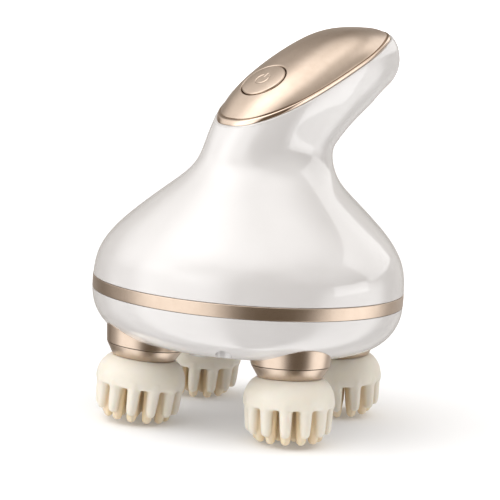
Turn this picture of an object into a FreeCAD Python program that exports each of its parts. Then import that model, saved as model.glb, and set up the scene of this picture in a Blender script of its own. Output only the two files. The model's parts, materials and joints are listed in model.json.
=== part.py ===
import FreeCAD, Part
import functools
import itertools
import math
import os

Vector = FreeCAD.Vector

# Driving dimensions, in millimetres and degrees.
# Heights are above the floor that the fingertips stand on, and rises are above a lower piece.
# Sideways places are measured from the axis of the round base.

# Base shells and the band between them
BASE_RADIUS = 62.4
FLOOR_HEIGHT = 32.2
BASE_CORNER_RADIUS = 18.0
SHELL_WALL = 2.4
LOWER_SHELL_RISE = 18.2
BAND_SPACE = 5.2
BAND_GAP = 0.1
BAND_THICKNESS = 1.5
BAND_PROUD = 0.1
SPIGOT_WALL = 2.4
SPIGOT_CLEARANCE = 0.1
GASKET_HEIGHT = 0.6
GASKET_INSET = 0.2

# Dome from the base up to the neck
NECK_RISE = 55.0
NECK_FORWARD = 7.5
NECK_LEAN = 6.0
NECK_HALF_DEPTH = 27.6
NECK_HALF_WIDTH = 21.5
DOME_SECTION_STEP = 9.0
DOME_POWER = 1.2
DOME_SHIFT_POWER = 1.5
DOME_LEAN_POWER = 3.0
NECK_CROWN_POWER = 2.3

# Handle sections beyond the neck: forward, rise above the neck, lean, half depth, half width, crown power
HANDLE_SECTIONS = [
    (13.0, 9.5, 20.0, 24.4, 21.6, 2.7),
    (23.5, 18.4, 42.0, 20.8, 21.6, 3.0),
    (35.2, 26.1, 58.0, 19.2, 20.6, 2.9),
    (48.1, 32.4, 68.0, 17.5, 18.8, 2.7),
    (59.8, 36.8, 75.0, 13.4, 15.2, 2.4),
]
TIP_LENGTH = 11.4
TIP_ENTRY = 0.35
TIP_SHARES = (0.5, 0.78, 0.93, 0.99)
SECTION_POINTS = 24

# Sloping joint between the handle and its gold plate
PARTING_RISE = 15.8
PARTING_SLOPE = 26.0
RIM_HEIGHT = 1.6
RIM_INSET = 0.2
PLATE_INSET = 0.6
PLATE_WALL = 1.8
PLATE_SPIGOT_DEPTH = 3.0
PLATE_SPIGOT_WALL = 1.2

# Power button, set square to the crown of the plate
BUTTON_ALONG_PLATE = 6.8
BUTTON_TILT = 13.0
BUTTON_RADIUS = 9.3
BUTTON_GAP = 0.4
BUTTON_FLANGE_WIDTH = 1.0
BUTTON_FLANGE_GAP = 0.2
BUTTON_DEPTH = 5.0
BUTTON_TRAVEL = 0.7
SYMBOL_RADIUS = 2.9
SYMBOL_LINE = 0.6
SYMBOL_DEPTH = 0.25
SYMBOL_GAP_ANGLE = 64.0

# Switch and board below the button
SWITCH_SIDE = 6.0
SWITCH_HEIGHT = 3.5
SWITCH_TOP_GAP = 1.0
PLUNGER_RADIUS = 1.75
PLUNGER_CLEARANCE = 0.05
PLUNGER_LENGTH = 2.6
BOARD_THICKNESS = 1.6
BOARD_FORE_LENGTH = 9.0
BOARD_AFT_LENGTH = 16.6
BOARD_WALL_GAP = 1.0
BOARD_POST_RADIUS = 1.7
BOARD_POST_SIDE = 12.4
BOARD_POST_AFT = 14.0
BOARD_SCREW_RADIUS = 0.8
BOARD_SCREW_LENGTH = 5.0
BOARD_SCREW_HEAD_RADIUS = 1.5
BOARD_SCREW_HEAD_HEIGHT = 1.1

# Battery cell lying along the handle
CELL_RADIUS = 7.1
CELL_LENGTH = 50.0
CELL_ALONG_PLATE = 10.2
CELL_DEPTH = 9.9
CELL_TILT = 1.0
CELL_TERMINAL_RADIUS = 2.6
CELL_TERMINAL_LENGTH = 1.2
CELL_CLEARANCE = 0.1
CRADLE_WALL = 1.6
CRADLE_RIB = 2.4
CRADLE_RIB_PLACES = (14.0, 34.0)
CRADLE_SHELL_GAP = 0.1
CRADLE_TOP_GAP = 1.0

# Massage heads, spaced evenly round the base and splayed outward
HEAD_NAMES = ("rear", "left", "front", "right")
HEAD_CLOCK = -18.0
HEAD_SPLAY = 4.5
FINGER_TIP_RADIUS = 1.6
FINGER_ROOT_RADIUS = 2.4
FINGER_PAIRS = 12
OUTER_FINGER_CIRCLE = 14.7
OUTER_FINGER_LIFT = 3.1
MIDDLE_FINGER_CIRCLE = 11.6
INNER_FINGER_COUNT = 6
INNER_FINGER_CIRCLE = 6.0
INNER_FINGER_LIFT = 0.6
FINGER_ROOT_DEPTH = 3.2
HEAD_RIM_RADIUS = 17.4
HEAD_EDGE_RADIUS = 1.2
HEAD_DOME_HEIGHT = 9.6
HEAD_BULGE_HEIGHT = 5.6
HEAD_BULGE_RADIUS = 16.5
HEAD_TOP_RADIUS = 12.8
HEAD_EDGE_DISTANCE = 20.4

# Hub, turning ring, collar, seal, bush and shaft of each head
HUB_RADIUS = 10.5
HUB_HEIGHT = 6.4
HUB_NECK_RADIUS = 6.0
HUB_NECK_GAP = 0.4
RING_HEIGHT = 4.4
RING_TOP_RADIUS = 15.1
COLLAR_GAP = 0.4
COLLAR_BELOW_GEAR = 12.36
COLLAR_BOTTOM_RADIUS = 15.2
COLLAR_SPREAD = 1.6
COLLAR_BORE = 7.0
COLLAR_REACH = 12.0
SEAL_HEIGHT = 2.3
SEAL_SHAFT_GAP = 0.15
SHAFT_RADIUS = 3.0
SHAFT_RUNNING_GAP = 0.04
SHAFT_IN_HUB = 5.0
SHAFT_ABOVE_GEAR = 0.8
BUSH_WALL = 2.0
BUSH_FLANGE_RADIUS = 7.0
BUSH_FLANGE_HEIGHT = 1.0
BOSS_WALL = 3.2
GEAR_END_GAP = 0.3

# Gear train
GEAR_RISE = 9.4
GEAR_WIDTH = 4.0
TIER_GAP = 1.0
MODULE = 1.0
OUTPUT_TEETH = 24
UPPER_TEETH_FEWER = 4
SMALL_TEETH = 12
FINE_MODULE = 0.8
PINION_TEETH = 10
TOOTH_SHARE = 0.36
TOOTH_TIP = 0.85
TOOTH_ROOT = 1.20
PRESSURE_ANGLE = 20.0
CENTRAL_AXLE_RADIUS = 3.0
COMPOUND_AXLE_RADIUS = 2.0
AXLE_RUNNING_GAP = 0.05
AXLE_SEAT = 4.0
AXLE_BOSS_WALL = 3.0
COMPOUND_CLOCK = 45.0
HUB_WALL = 2.5

# Gear plate, motor and control board
GEAR_PLATE_RISE = 22.4
GEAR_PLATE_THICKNESS = 2.5
GEAR_PLATE_GAP = 0.8
MOTOR_OFFSET = 15.6
MOTOR_RADIUS = 12.0
MOTOR_LENGTH = 31.0
MOTOR_CAP_RADIUS = 5.0
MOTOR_CAP_HEIGHT = 2.5
MOTOR_PILOT_RADIUS = 5.0
MOTOR_PILOT_HEIGHT = 2.0
MOTOR_PILOT_GAP = 0.05
MOTOR_SHAFT_RADIUS = 1.0
MOTOR_SHAFT_GAP = 0.05
MOTOR_SHAFT_DEPTH = 20.0
MOTOR_SCREW_CIRCLE = 8.0
MOTOR_SCREW_RADIUS = 1.25
MOTOR_SCREW_HEAD_RADIUS = 1.9
MOTOR_SCREW_HEAD_HEIGHT = 0.7
MOTOR_SCREW_GRIP = 4.0
BOARD_LENGTH = 34.0
BOARD_WIDTH = 24.0
BOARD_CENTRE = -27.0
STANDOFF_HEIGHT = 3.0
STANDOFF_RADIUS = 2.0
CHIP_SIDE = 7.0
CHIP_HEIGHT = 1.2
CAPACITOR_RADIUS = 3.0
CAPACITOR_HEIGHT = 7.0

# Posts and screws that close the shells
POST_EDGE_DISTANCE = 8.9
POST_CLOCK = 57.0
POST_RADIUS = 4.0
SCREW_RADIUS = 1.5
SCREW_HOLE_GAP = 0.2
SCREW_HEAD_RADIUS = 2.8
SCREW_HEAD_HEIGHT = 2.0
SCREW_HEAD_GAP = 0.3
SCREW_SEAT_RISE = 7.4
SCREW_BITE = 8.0

# Charging socket in the underside
SOCKET_INSIDE_HEADS = 18.8
SOCKET_RADIUS = 4.6
SOCKET_DROP = 5.0
SOCKET_RISE = 6.4
SOCKET_FLANGE_RADIUS = 6.4
SOCKET_FLANGE_HEIGHT = 1.2
SOCKET_BORE_RADIUS = 1.8
SOCKET_BORE_DEPTH = 9.0
SLEEVE_WALL = 0.6
SLEEVE_LIP = 0.3
SOCKET_GAP = 0.05

# Wiring inside the neck
WIRE_RADIUS = 1.4
WIRE_BEND_FORWARD = -12.0
WIRE_BEND_BELOW_NECK = 20.0
WIRE_LEAD = 12.0
WIRE_BOARD_FORE = 5.0
WIRE_ARC_SHARE = 0.45

# Sizes worked out from the driving dimensions

SPLAY = math.radians(HEAD_SPLAY)
LOWER_SHELL_TOP = FLOOR_HEIGHT + LOWER_SHELL_RISE
UPPER_SHELL_BOTTOM = LOWER_SHELL_TOP + BAND_SPACE
NECK_HEIGHT = UPPER_SHELL_BOTTOM + NECK_RISE
PARTING_HEIGHT = NECK_HEIGHT + PARTING_RISE
GEAR_HEIGHT = FLOOR_HEIGHT + GEAR_RISE
PLATE_HEIGHT = FLOOR_HEIGHT + GEAR_PLATE_RISE
SCREW_SEAT_HEIGHT = FLOOR_HEIGHT + SCREW_SEAT_RISE
SOCKET_TOP = FLOOR_HEIGHT + SOCKET_RISE
POST_CIRCLE = BASE_RADIUS - POST_EDGE_DISTANCE
SPIGOT_OUTER = BASE_RADIUS - BAND_THICKNESS - SPIGOT_CLEARANCE
SPIGOT_INNER = SPIGOT_OUTER - SPIGOT_WALL
GASKET_BOTTOM = (LOWER_SHELL_TOP + UPPER_SHELL_BOTTOM - GASKET_HEIGHT) / 2
FLOOR_TOP = FLOOR_HEIGHT + SHELL_WALL
TIP_FORWARD = HANDLE_SECTIONS[-1][0] + TIP_LENGTH * math.sin(math.radians(HANDLE_SECTIONS[-1][2]))

# The central gear fills the space between the heads; its teeth come in fours so that all heads mesh alike
OUTPUT_RADIUS = MODULE * OUTPUT_TEETH / 2
CENTRAL_TEETH = 4 * round((BASE_RADIUS - HEAD_EDGE_DISTANCE - OUTPUT_RADIUS) / (2 * MODULE))
CENTRAL_RADIUS = MODULE * CENTRAL_TEETH / 2
UPPER_TEETH = CENTRAL_TEETH - UPPER_TEETH_FEWER
UPPER_RADIUS = MODULE * UPPER_TEETH / 2
SMALL_RADIUS = MODULE * SMALL_TEETH / 2
PINION_RADIUS = FINE_MODULE * PINION_TEETH / 2
COMPOUND_DISTANCE = UPPER_RADIUS + SMALL_RADIUS
LARGE_TEETH = round(2 * (COMPOUND_DISTANCE - MOTOR_OFFSET) / FINE_MODULE) - PINION_TEETH
LARGE_RADIUS = FINE_MODULE * LARGE_TEETH / 2
MOTOR_DISTANCE = COMPOUND_DISTANCE - LARGE_RADIUS - PINION_RADIUS
COMPOUND_ANGLE = HEAD_CLOCK + COMPOUND_CLOCK
UPPER_TIER_BOTTOM = GEAR_HEIGHT + GEAR_WIDTH / 2 + TIER_GAP
LARGE_GEAR_BOTTOM = UPPER_TIER_BOTTOM + GEAR_WIDTH + TIER_GAP
GEAR_PLATE_TOP = PLATE_HEIGHT + GEAR_PLATE_THICKNESS
GEAR_PLATE_RADIUS = SPIGOT_INNER - GEAR_PLATE_GAP

# Along a head's own axis, heights are counted from its longest fingertips.
# The splay lifts the outer side of a head, so it stands on the fingertip nearest the base's axis.
OUTPUT_CENTRE_RADIUS = CENTRAL_RADIUS + OUTPUT_RADIUS * math.cos(SPLAY)
OUTPUT_CENTRE_HEIGHT = GEAR_HEIGHT + OUTPUT_RADIUS * math.sin(SPLAY)
LOWEST_TIP = FINGER_TIP_RADIUS * (1 - math.cos(SPLAY)) + MIDDLE_FINGER_CIRCLE * math.sin(SPLAY)
OUTPUT_ALONG = (OUTPUT_CENTRE_HEIGHT - LOWEST_TIP) / math.cos(SPLAY)
APEX_DISTANCE = OUTPUT_CENTRE_RADIUS / math.sin(SPLAY)
OUTPUT_BOTTOM = OUTPUT_ALONG - GEAR_WIDTH / 2
COLLAR_BOTTOM = OUTPUT_ALONG - COLLAR_BELOW_GEAR
RING_TOP = COLLAR_BOTTOM - COLLAR_GAP
HUB_NECK_TOP = RING_TOP - HUB_NECK_GAP
HEAD_TOP = RING_TOP - RING_HEIGHT
HEAD_RIM_HEIGHT = HEAD_TOP - HEAD_DOME_HEIGHT
HEAD_BOTTOM = HEAD_RIM_HEIGHT - HEAD_EDGE_RADIUS
FINGER_ROOT_HEIGHT = HEAD_BOTTOM + FINGER_ROOT_DEPTH
SOCKET_FORWARD = SOCKET_INSIDE_HEADS - OUTPUT_CENTRE_RADIUS
SEAL_TOP = COLLAR_BOTTOM + COLLAR_GAP / 2 + SEAL_HEIGHT
BUSH_RADIUS = SHAFT_RADIUS + BUSH_WALL
BOSS_TOP = OUTPUT_BOTTOM - GEAR_END_GAP - BUSH_FLANGE_HEIGHT


def polar(radius, angle, height=0.0):
    turn = math.radians(angle)
    return Vector(radius * math.cos(turn), radius * math.sin(turn), height)


def tube(outer, inner, bottom, top):
    ring = Part.makeCylinder(outer, top - bottom, Vector(0, 0, bottom))
    return ring.cut(Part.makeCylinder(inner, top - bottom + 2, Vector(0, 0, bottom - 1)))


def disc(radius, bottom, top, place=Vector(0, 0, 0)):
    return Part.makeCylinder(radius, top - bottom, Vector(place.x, place.y, bottom))


def revolve(edges):
    face = Part.Face(Part.Wire(edges))
    return face.revolve(Vector(0, 0, 0), Vector(0, 0, 1), 360)


def profile_line(start, end):
    return Part.makeLine(Vector(start[0], 0, start[1]), Vector(end[0], 0, end[1]))


def profile_arc(start, middle, end):
    points = [Vector(point[0], 0, point[1]) for point in (start, middle, end)]
    return Part.Arc(*points).toShape()


# Free-form body of the dome, neck and handle

def handle_sections():
    return [(row[0], NECK_HEIGHT + row[1]) + row[2:] for row in HANDLE_SECTIONS]


def body_sections():
    """Sections from the base to the end of the handle: forward, height, lean, half sizes, crown power."""
    rise = NECK_HEIGHT - UPPER_SHELL_BOTTOM
    count = max(3, round(rise / DOME_SECTION_STEP))
    sections = []
    for index in range(count):
        share = index / count
        fullness = (1 + math.cos(math.pi * share ** DOME_POWER)) / 2
        half_depth = NECK_HALF_DEPTH + (BASE_RADIUS - NECK_HALF_DEPTH) * fullness
        half_width = NECK_HALF_WIDTH + (BASE_RADIUS - NECK_HALF_WIDTH) * fullness
        forward = NECK_FORWARD * share ** DOME_SHIFT_POWER
        lean = NECK_LEAN * share ** DOME_LEAN_POWER
        sections.append((forward, UPPER_SHELL_BOTTOM + rise * share, lean, half_depth, half_width, 2.0))
    neck = (NECK_FORWARD, NECK_HEIGHT, NECK_LEAN, NECK_HALF_DEPTH, NECK_HALF_WIDTH, NECK_CROWN_POWER)
    return sections + [neck] + handle_sections()


def section_wire(forward, height, lean, half_depth, half_width, crown_power):
    """One closed section: round underneath, flatter over the crown."""
    tilt = math.radians(lean)
    points = []
    for index in range(SECTION_POINTS):
        turn = 2 * math.pi * index / SECTION_POINTS
        along = math.cos(turn)
        side = math.sin(turn)
        power = 2 / crown_power if along < 0 else 1.0
        depth = math.copysign(abs(along) ** power, along) * half_depth
        width = math.copysign(abs(side) ** power, side) * half_width
        points.append(Vector(forward + depth * math.cos(tilt), width, height - depth * math.sin(tilt)))
    steps = [index / SECTION_POINTS for index in range(SECTION_POINTS + 1)]
    curve = Part.BSplineCurve()
    curve.interpolate(points, PeriodicFlag=True, Parameters=steps)
    return Part.Wire(curve.toShape())


def tip_fullness(share):
    """Height of the rounded end's ellipse, which the handle meets a little past its widest place."""
    return math.sqrt(1 - ((share + TIP_ENTRY) / (1 + TIP_ENTRY)) ** 2)


@functools.cache
def body(inset):
    """Solid of the dome, neck and handle, drawn in by the inset all round."""
    wires = []
    for forward, height, lean, half_depth, half_width, power in body_sections():
        wires.append(section_wire(forward, height, lean, half_depth - inset, half_width - inset, power))
    forward, height, lean, half_depth, half_width, power = handle_sections()[-1]
    reach = TIP_LENGTH - inset / 2
    for share in TIP_SHARES:
        shrink = tip_fullness(share) / tip_fullness(0)
        step = reach * share
        wires.append(section_wire(
            forward + step * math.sin(math.radians(lean)), height + step * math.cos(math.radians(lean)), lean,
            (half_depth - inset) * shrink, (half_width - inset) * shrink, power))
    return Part.makeLoft(wires, True, False)


def parting_placement(offset):
    turn = FreeCAD.Rotation(Vector(0, 1, 0), -PARTING_SLOPE)
    normal = turn.multVec(Vector(0, 0, 1))
    return FreeCAD.Placement(Vector(0, 0, PARTING_HEIGHT) + normal * offset, turn)


def parting_slab(bottom, top):
    """Layer parallel to the handle's sloping joint."""
    reach = 2 * TIP_FORWARD
    slab = Part.makeBox(2 * reach, 2 * reach, top - bottom, Vector(-reach, -reach, 0))
    slab.Placement = parting_placement(bottom)
    return slab


def above_parting(offset):
    return parting_slab(offset, offset + 2 * TIP_FORWARD)


# Shells, band, gasket

def make_lower_outer():
    corner = BASE_RADIUS - BASE_CORNER_RADIUS
    middle = BASE_CORNER_RADIUS * math.sin(math.radians(45))
    centre = FLOOR_HEIGHT + BASE_CORNER_RADIUS
    return revolve([
        profile_line((0, FLOOR_HEIGHT), (corner, FLOOR_HEIGHT)),
        profile_arc((corner, FLOOR_HEIGHT), (corner + middle, centre - middle), (BASE_RADIUS, centre)),
        profile_line((BASE_RADIUS, centre), (BASE_RADIUS, LOWER_SHELL_TOP)),
        profile_line((BASE_RADIUS, LOWER_SHELL_TOP), (0, LOWER_SHELL_TOP)),
        profile_line((0, LOWER_SHELL_TOP), (0, FLOOR_HEIGHT)),
    ])


def make_lower_inner():
    corner = BASE_RADIUS - BASE_CORNER_RADIUS
    radius = BASE_CORNER_RADIUS - SHELL_WALL
    middle = radius * math.sin(math.radians(45))
    centre = FLOOR_HEIGHT + BASE_CORNER_RADIUS
    inner = BASE_RADIUS - SHELL_WALL
    top = LOWER_SHELL_TOP + 1
    hollow = revolve([
        profile_line((0, FLOOR_TOP), (corner, FLOOR_TOP)),
        profile_arc((corner, FLOOR_TOP), (corner + middle, centre - middle), (inner, centre)),
        profile_line((inner, centre), (inner, top)),
        profile_line((inner, top), (0, top)),
        profile_line((0, top), (0, FLOOR_TOP)),
    ])
    return hollow


def post_angles():
    return [HEAD_CLOCK + POST_CLOCK + 360 / 4 * index for index in range(4)]


def make_lower_shell(outer, inner, seat):
    shell = outer.cut(inner)
    shell = shell.fuse(tube(SPIGOT_OUTER, SPIGOT_INNER, LOWER_SHELL_TOP - SPIGOT_WALL, GASKET_BOTTOM))
    boss = disc(BUSH_RADIUS + BOSS_WALL, SEAL_TOP - 4, BOSS_TOP)
    bore = disc(BUSH_RADIUS, SEAL_TOP - 1, BOSS_TOP + 1)
    seal_seat = disc(COLLAR_BORE, SEAL_TOP - 10, SEAL_TOP)
    cuts = []
    for index in range(4):
        place = seat[index]
        shell = shell.fuse(moved(boss, place).common(inner.fuse(outer)))
        cuts += [moved(bore, place), moved(seal_seat, place)]
    for angle in post_angles():
        place = polar(POST_CIRCLE, angle)
        post = disc(POST_RADIUS, FLOOR_HEIGHT, LOWER_SHELL_TOP, place).common(outer)
        shell = shell.fuse(post.fuse(disc(POST_RADIUS, LOWER_SHELL_TOP, PLATE_HEIGHT, place)))
        cuts.append(disc(SCREW_RADIUS + SCREW_HOLE_GAP, 0, PLATE_HEIGHT + 1, place))
        cuts.append(disc(SCREW_HEAD_RADIUS + SCREW_HEAD_GAP, 0, SCREW_SEAT_HEIGHT, place))
    compound = polar(COMPOUND_DISTANCE, COMPOUND_ANGLE)
    seat_bottom = FLOOR_TOP - SHELL_WALL / 4
    seat_top = FLOOR_TOP + AXLE_SEAT
    shell = shell.fuse(disc(CENTRAL_AXLE_RADIUS + AXLE_BOSS_WALL, seat_bottom, seat_top))
    shell = shell.fuse(disc(COMPOUND_AXLE_RADIUS + AXLE_BOSS_WALL, seat_bottom, seat_top, compound))
    cuts.append(disc(CENTRAL_AXLE_RADIUS, FLOOR_TOP, PLATE_HEIGHT))
    cuts.append(disc(COMPOUND_AXLE_RADIUS, FLOOR_TOP, PLATE_HEIGHT, compound))
    cuts.append(disc(SOCKET_RADIUS + SOCKET_GAP, 0, FLOOR_TOP + 1, Vector(SOCKET_FORWARD, 0, 0)))
    return shell.cut(cuts).removeSplitter()


def make_upper_shell():
    inside = body(SHELL_WALL)
    shell = body(0).cut(inside)
    for angle in post_angles():
        place = polar(POST_CIRCLE, angle)
        post = disc(POST_RADIUS, GEAR_PLATE_TOP, NECK_HEIGHT, place).common(body(SHELL_WALL / 2))
        shell = shell.fuse(post)
    spigot = tube(SPIGOT_OUTER, SPIGOT_INNER, GASKET_BOTTOM + GASKET_HEIGHT, UPPER_SHELL_BOTTOM)
    step_top = UPPER_SHELL_BOTTOM + SPIGOT_WALL
    step = tube(BASE_RADIUS - SHELL_WALL / 2, SPIGOT_INNER, UPPER_SHELL_BOTTOM, step_top)
    shell = shell.fuse(spigot.fuse(step.common(body(SHELL_WALL / 2))))
    cuts = [above_parting(0)]
    for angle in post_angles():
        place = polar(POST_CIRCLE, angle)
        cuts.append(disc(SCREW_RADIUS, GEAR_PLATE_TOP - 1, GEAR_PLATE_TOP + SCREW_BITE + 1, place))
    return shell.cut(cuts).removeSplitter()


def make_trim_band():
    bottom = LOWER_SHELL_TOP + BAND_GAP
    top = UPPER_SHELL_BOTTOM - BAND_GAP
    return tube(BASE_RADIUS + BAND_PROUD, BASE_RADIUS - BAND_THICKNESS, bottom, top)


def make_shell_gasket():
    outer = SPIGOT_OUTER - GASKET_INSET
    inner = SPIGOT_INNER + GASKET_INSET
    return tube(outer, inner, GASKET_BOTTOM, GASKET_BOTTOM + GASKET_HEIGHT)


def make_shell_screws():
    screws = []
    for angle in post_angles():
        place = polar(POST_CIRCLE, angle)
        head_bottom = SCREW_SEAT_HEIGHT - SCREW_HEAD_HEIGHT
        head = disc(SCREW_HEAD_RADIUS, head_bottom, SCREW_SEAT_HEIGHT, place)
        shank = disc(SCREW_RADIUS, SCREW_SEAT_HEIGHT, GEAR_PLATE_TOP + SCREW_BITE, place)
        slot = Part.makeBox(SCREW_HEAD_RADIUS, 0.8, 1.0, Vector(-SCREW_HEAD_RADIUS / 2, -0.4, 0))
        cross = slot.copy()
        cross.rotate(Vector(0, 0, 0), Vector(0, 0, 1), 90)
        drive = slot.fuse(cross)
        drive.translate(Vector(place.x, place.y, head_bottom))
        screws.append(head.fuse(shank).cut(drive).removeSplitter())
    return Part.makeCompound(screws)


# Handle plate, its rim and the button

def make_plate_rim():
    layer = parting_slab(0, RIM_HEIGHT)
    return body(RIM_INSET).common(layer).cut(body(SHELL_WALL))


def button_placement():
    """Frame at the crown of the plate, its Z axis pointing out of the plate."""
    slope = math.radians(PARTING_SLOPE)
    along = Vector(math.cos(slope), 0, math.sin(slope)) * BUTTON_ALONG_PLATE
    foot = Vector(0, 0, PARTING_HEIGHT) + along
    turn = FreeCAD.Rotation(Vector(0, 1, 0), -(PARTING_SLOPE + BUTTON_TILT))
    outward = turn.multVec(Vector(0, 0, 1))
    ray = Part.makeLine(foot, foot + outward * NECK_HEIGHT).common(body(PLATE_INSET))
    crown = max((vertex.Point for vertex in ray.Vertexes), key=lambda point: point.z)
    return FreeCAD.Placement(crown, turn)


def moved(shape, place):
    result = shape.copy()
    result.Placement = place.multiply(result.Placement)
    return result


def make_symbol_cutter(place):
    """Plain on-off mark: a broken ring and a bar, cut to an even depth under the button's face."""
    ring = tube(SYMBOL_RADIUS + SYMBOL_LINE / 2, SYMBOL_RADIUS - SYMBOL_LINE / 2, -BUTTON_DEPTH, BUTTON_DEPTH)
    reach = 2 * SYMBOL_RADIUS
    half = math.radians(SYMBOL_GAP_ANGLE / 2)
    corner = [Vector(0, 0, 0), Vector(reach * math.cos(half), reach * math.sin(half), 0),
              Vector(reach * math.cos(half), -reach * math.sin(half), 0), Vector(0, 0, 0)]
    wedge = Part.Face(Part.makePolygon(corner)).extrude(Vector(0, 0, 2 * BUTTON_DEPTH))
    wedge.translate(Vector(0, 0, -BUTTON_DEPTH))
    bar = Part.makeBox(SYMBOL_RADIUS, SYMBOL_LINE, 2 * BUTTON_DEPTH)
    bar.translate(Vector(SYMBOL_RADIUS / 3, -SYMBOL_LINE / 2, -BUTTON_DEPTH))
    mark = moved(ring.cut(wedge).fuse(bar), place)
    return mark.cut(body(PLATE_INSET + SYMBOL_DEPTH))


def make_power_button(place):
    stem = disc(BUTTON_RADIUS, -BUTTON_DEPTH, BUTTON_DEPTH)
    face = moved(stem, place).common(body(PLATE_INSET))
    flange = disc(BUTTON_RADIUS + BUTTON_FLANGE_WIDTH, -BUTTON_DEPTH, BUTTON_DEPTH)
    lip = moved(flange, place).common(body(PLATE_INSET + PLATE_WALL + BUTTON_FLANGE_GAP))
    return face.fuse(lip).cut(make_symbol_cutter(place)).removeSplitter()


def board_post_places():
    return [Vector(0, BOARD_POST_SIDE, 0), Vector(0, -BOARD_POST_SIDE, 0), Vector(BOARD_POST_AFT, 0, 0)]


def board_top_depth():
    return -(BUTTON_DEPTH + SWITCH_TOP_GAP + SWITCH_HEIGHT)


def make_top_plate(place):
    outside = body(PLATE_INSET).common(above_parting(RIM_HEIGHT))
    plate = outside.cut(body(PLATE_INSET + PLATE_WALL))
    inside = body(SHELL_WALL + SPIGOT_CLEARANCE)
    layer = parting_slab(-PLATE_SPIGOT_DEPTH, RIM_HEIGHT + PLATE_WALL)
    spigot = inside.common(layer).cut(body(SHELL_WALL + SPIGOT_CLEARANCE + PLATE_SPIGOT_WALL))
    plate = plate.fuse(spigot)
    root = body(PLATE_INSET + PLATE_WALL / 2).common(above_parting(RIM_HEIGHT)).fuse(inside)
    flange = BUTTON_RADIUS + BUTTON_FLANGE_WIDTH
    well_bottom = -BUTTON_DEPTH - BUTTON_TRAVEL - BUTTON_FLANGE_GAP
    well = moved(disc(flange + BUTTON_FLANGE_GAP, well_bottom, BUTTON_DEPTH), place)
    hole = moved(disc(BUTTON_RADIUS + BUTTON_GAP, well_bottom, BUTTON_DEPTH), place)
    cuts = [hole, well.common(body(PLATE_INSET + PLATE_WALL))]
    for spot in board_post_places():
        post = disc(BOARD_POST_RADIUS, board_top_depth(), BUTTON_DEPTH, spot)
        plate = plate.fuse(moved(post, place).common(root))
        pilot = disc(BOARD_SCREW_RADIUS, board_top_depth() - 1, board_top_depth() + BOARD_SCREW_LENGTH, spot)
        cuts.append(moved(pilot, place))
    return plate.cut(cuts).removeSplitter()


def make_switch_plunger(place):
    return moved(disc(PLUNGER_RADIUS, -BUTTON_DEPTH - PLUNGER_LENGTH, -BUTTON_DEPTH), place)


def make_tact_switch(place):
    top = -BUTTON_DEPTH - SWITCH_TOP_GAP
    case = Part.makeBox(SWITCH_SIDE, SWITCH_SIDE, SWITCH_HEIGHT)
    case.translate(Vector(-SWITCH_SIDE / 2, -SWITCH_SIDE / 2, top - SWITCH_HEIGHT))
    well_bottom = -BUTTON_DEPTH - PLUNGER_LENGTH - BUTTON_TRAVEL - BUTTON_FLANGE_GAP
    well = disc(PLUNGER_RADIUS + PLUNGER_CLEARANCE, well_bottom, top + 1)
    return moved(case.cut(well), place)


def make_button_board(place):
    top = board_top_depth()
    sheet = Part.makeBox(BOARD_FORE_LENGTH + BOARD_AFT_LENGTH, 2 * NECK_HALF_WIDTH, BOARD_THICKNESS)
    sheet.translate(Vector(-BOARD_FORE_LENGTH, -NECK_HALF_WIDTH, top - BOARD_THICKNESS))
    board = moved(sheet, place).common(body(SHELL_WALL + PLATE_SPIGOT_WALL + BOARD_WALL_GAP))
    holes = []
    for spot in board_post_places():
        holes.append(moved(disc(BOARD_SCREW_RADIUS, top - BOARD_THICKNESS - 1, top + 1, spot), place))
    return board.cut(holes)


def make_board_screws(place):
    top = board_top_depth()
    under = top - BOARD_THICKNESS
    screws = []
    for spot in board_post_places():
        head = disc(BOARD_SCREW_HEAD_RADIUS, under - BOARD_SCREW_HEAD_HEIGHT, under, spot)
        shank = disc(BOARD_SCREW_RADIUS, under, top + BOARD_SCREW_LENGTH - 1, spot)
        screws.append(moved(head.fuse(shank).removeSplitter(), place))
    return Part.makeCompound(screws)


# Battery

def cell_placement():
    turn = FreeCAD.Rotation(Vector(0, 1, 0), 90 - PARTING_SLOPE - CELL_TILT)
    start = parting_placement(0).multVec(Vector(CELL_ALONG_PLATE, 0, -CELL_DEPTH))
    return FreeCAD.Placement(start, turn)


def make_battery_cell():
    can = disc(CELL_RADIUS, 0, CELL_LENGTH)
    terminal = disc(CELL_TERMINAL_RADIUS, CELL_LENGTH, CELL_LENGTH + CELL_TERMINAL_LENGTH)
    return moved(can.fuse(terminal), cell_placement())


def make_battery_cradle():
    """Half tray under the cell on two ribs that follow the inside of the handle."""
    place = cell_placement()
    bed = CELL_RADIUS + CELL_CLEARANCE
    tray = tube(bed + CRADLE_WALL, bed, CRADLE_RIB_PLACES[0], CRADLE_RIB_PLACES[1] + CRADLE_RIB)
    reach = 4 * CELL_RADIUS
    cradle = tray
    for start in CRADLE_RIB_PLACES:
        rib = Part.makeBox(2 * reach, 2 * reach, CRADLE_RIB, Vector(-reach, -reach, start))
        cradle = cradle.fuse(rib)
    cradle = cradle.cut(disc(bed, -1, CELL_LENGTH + 1))
    corner = Vector(-2 * reach - CRADLE_TOP_GAP, -2 * reach, -1)
    upper = Part.makeBox(2 * reach, 4 * reach, 2 * CELL_LENGTH, corner)
    cradle = moved(cradle.cut(upper), place)
    return cradle.common(body(SHELL_WALL + CRADLE_SHELL_GAP)).removeSplitter()


# Gears

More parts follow.
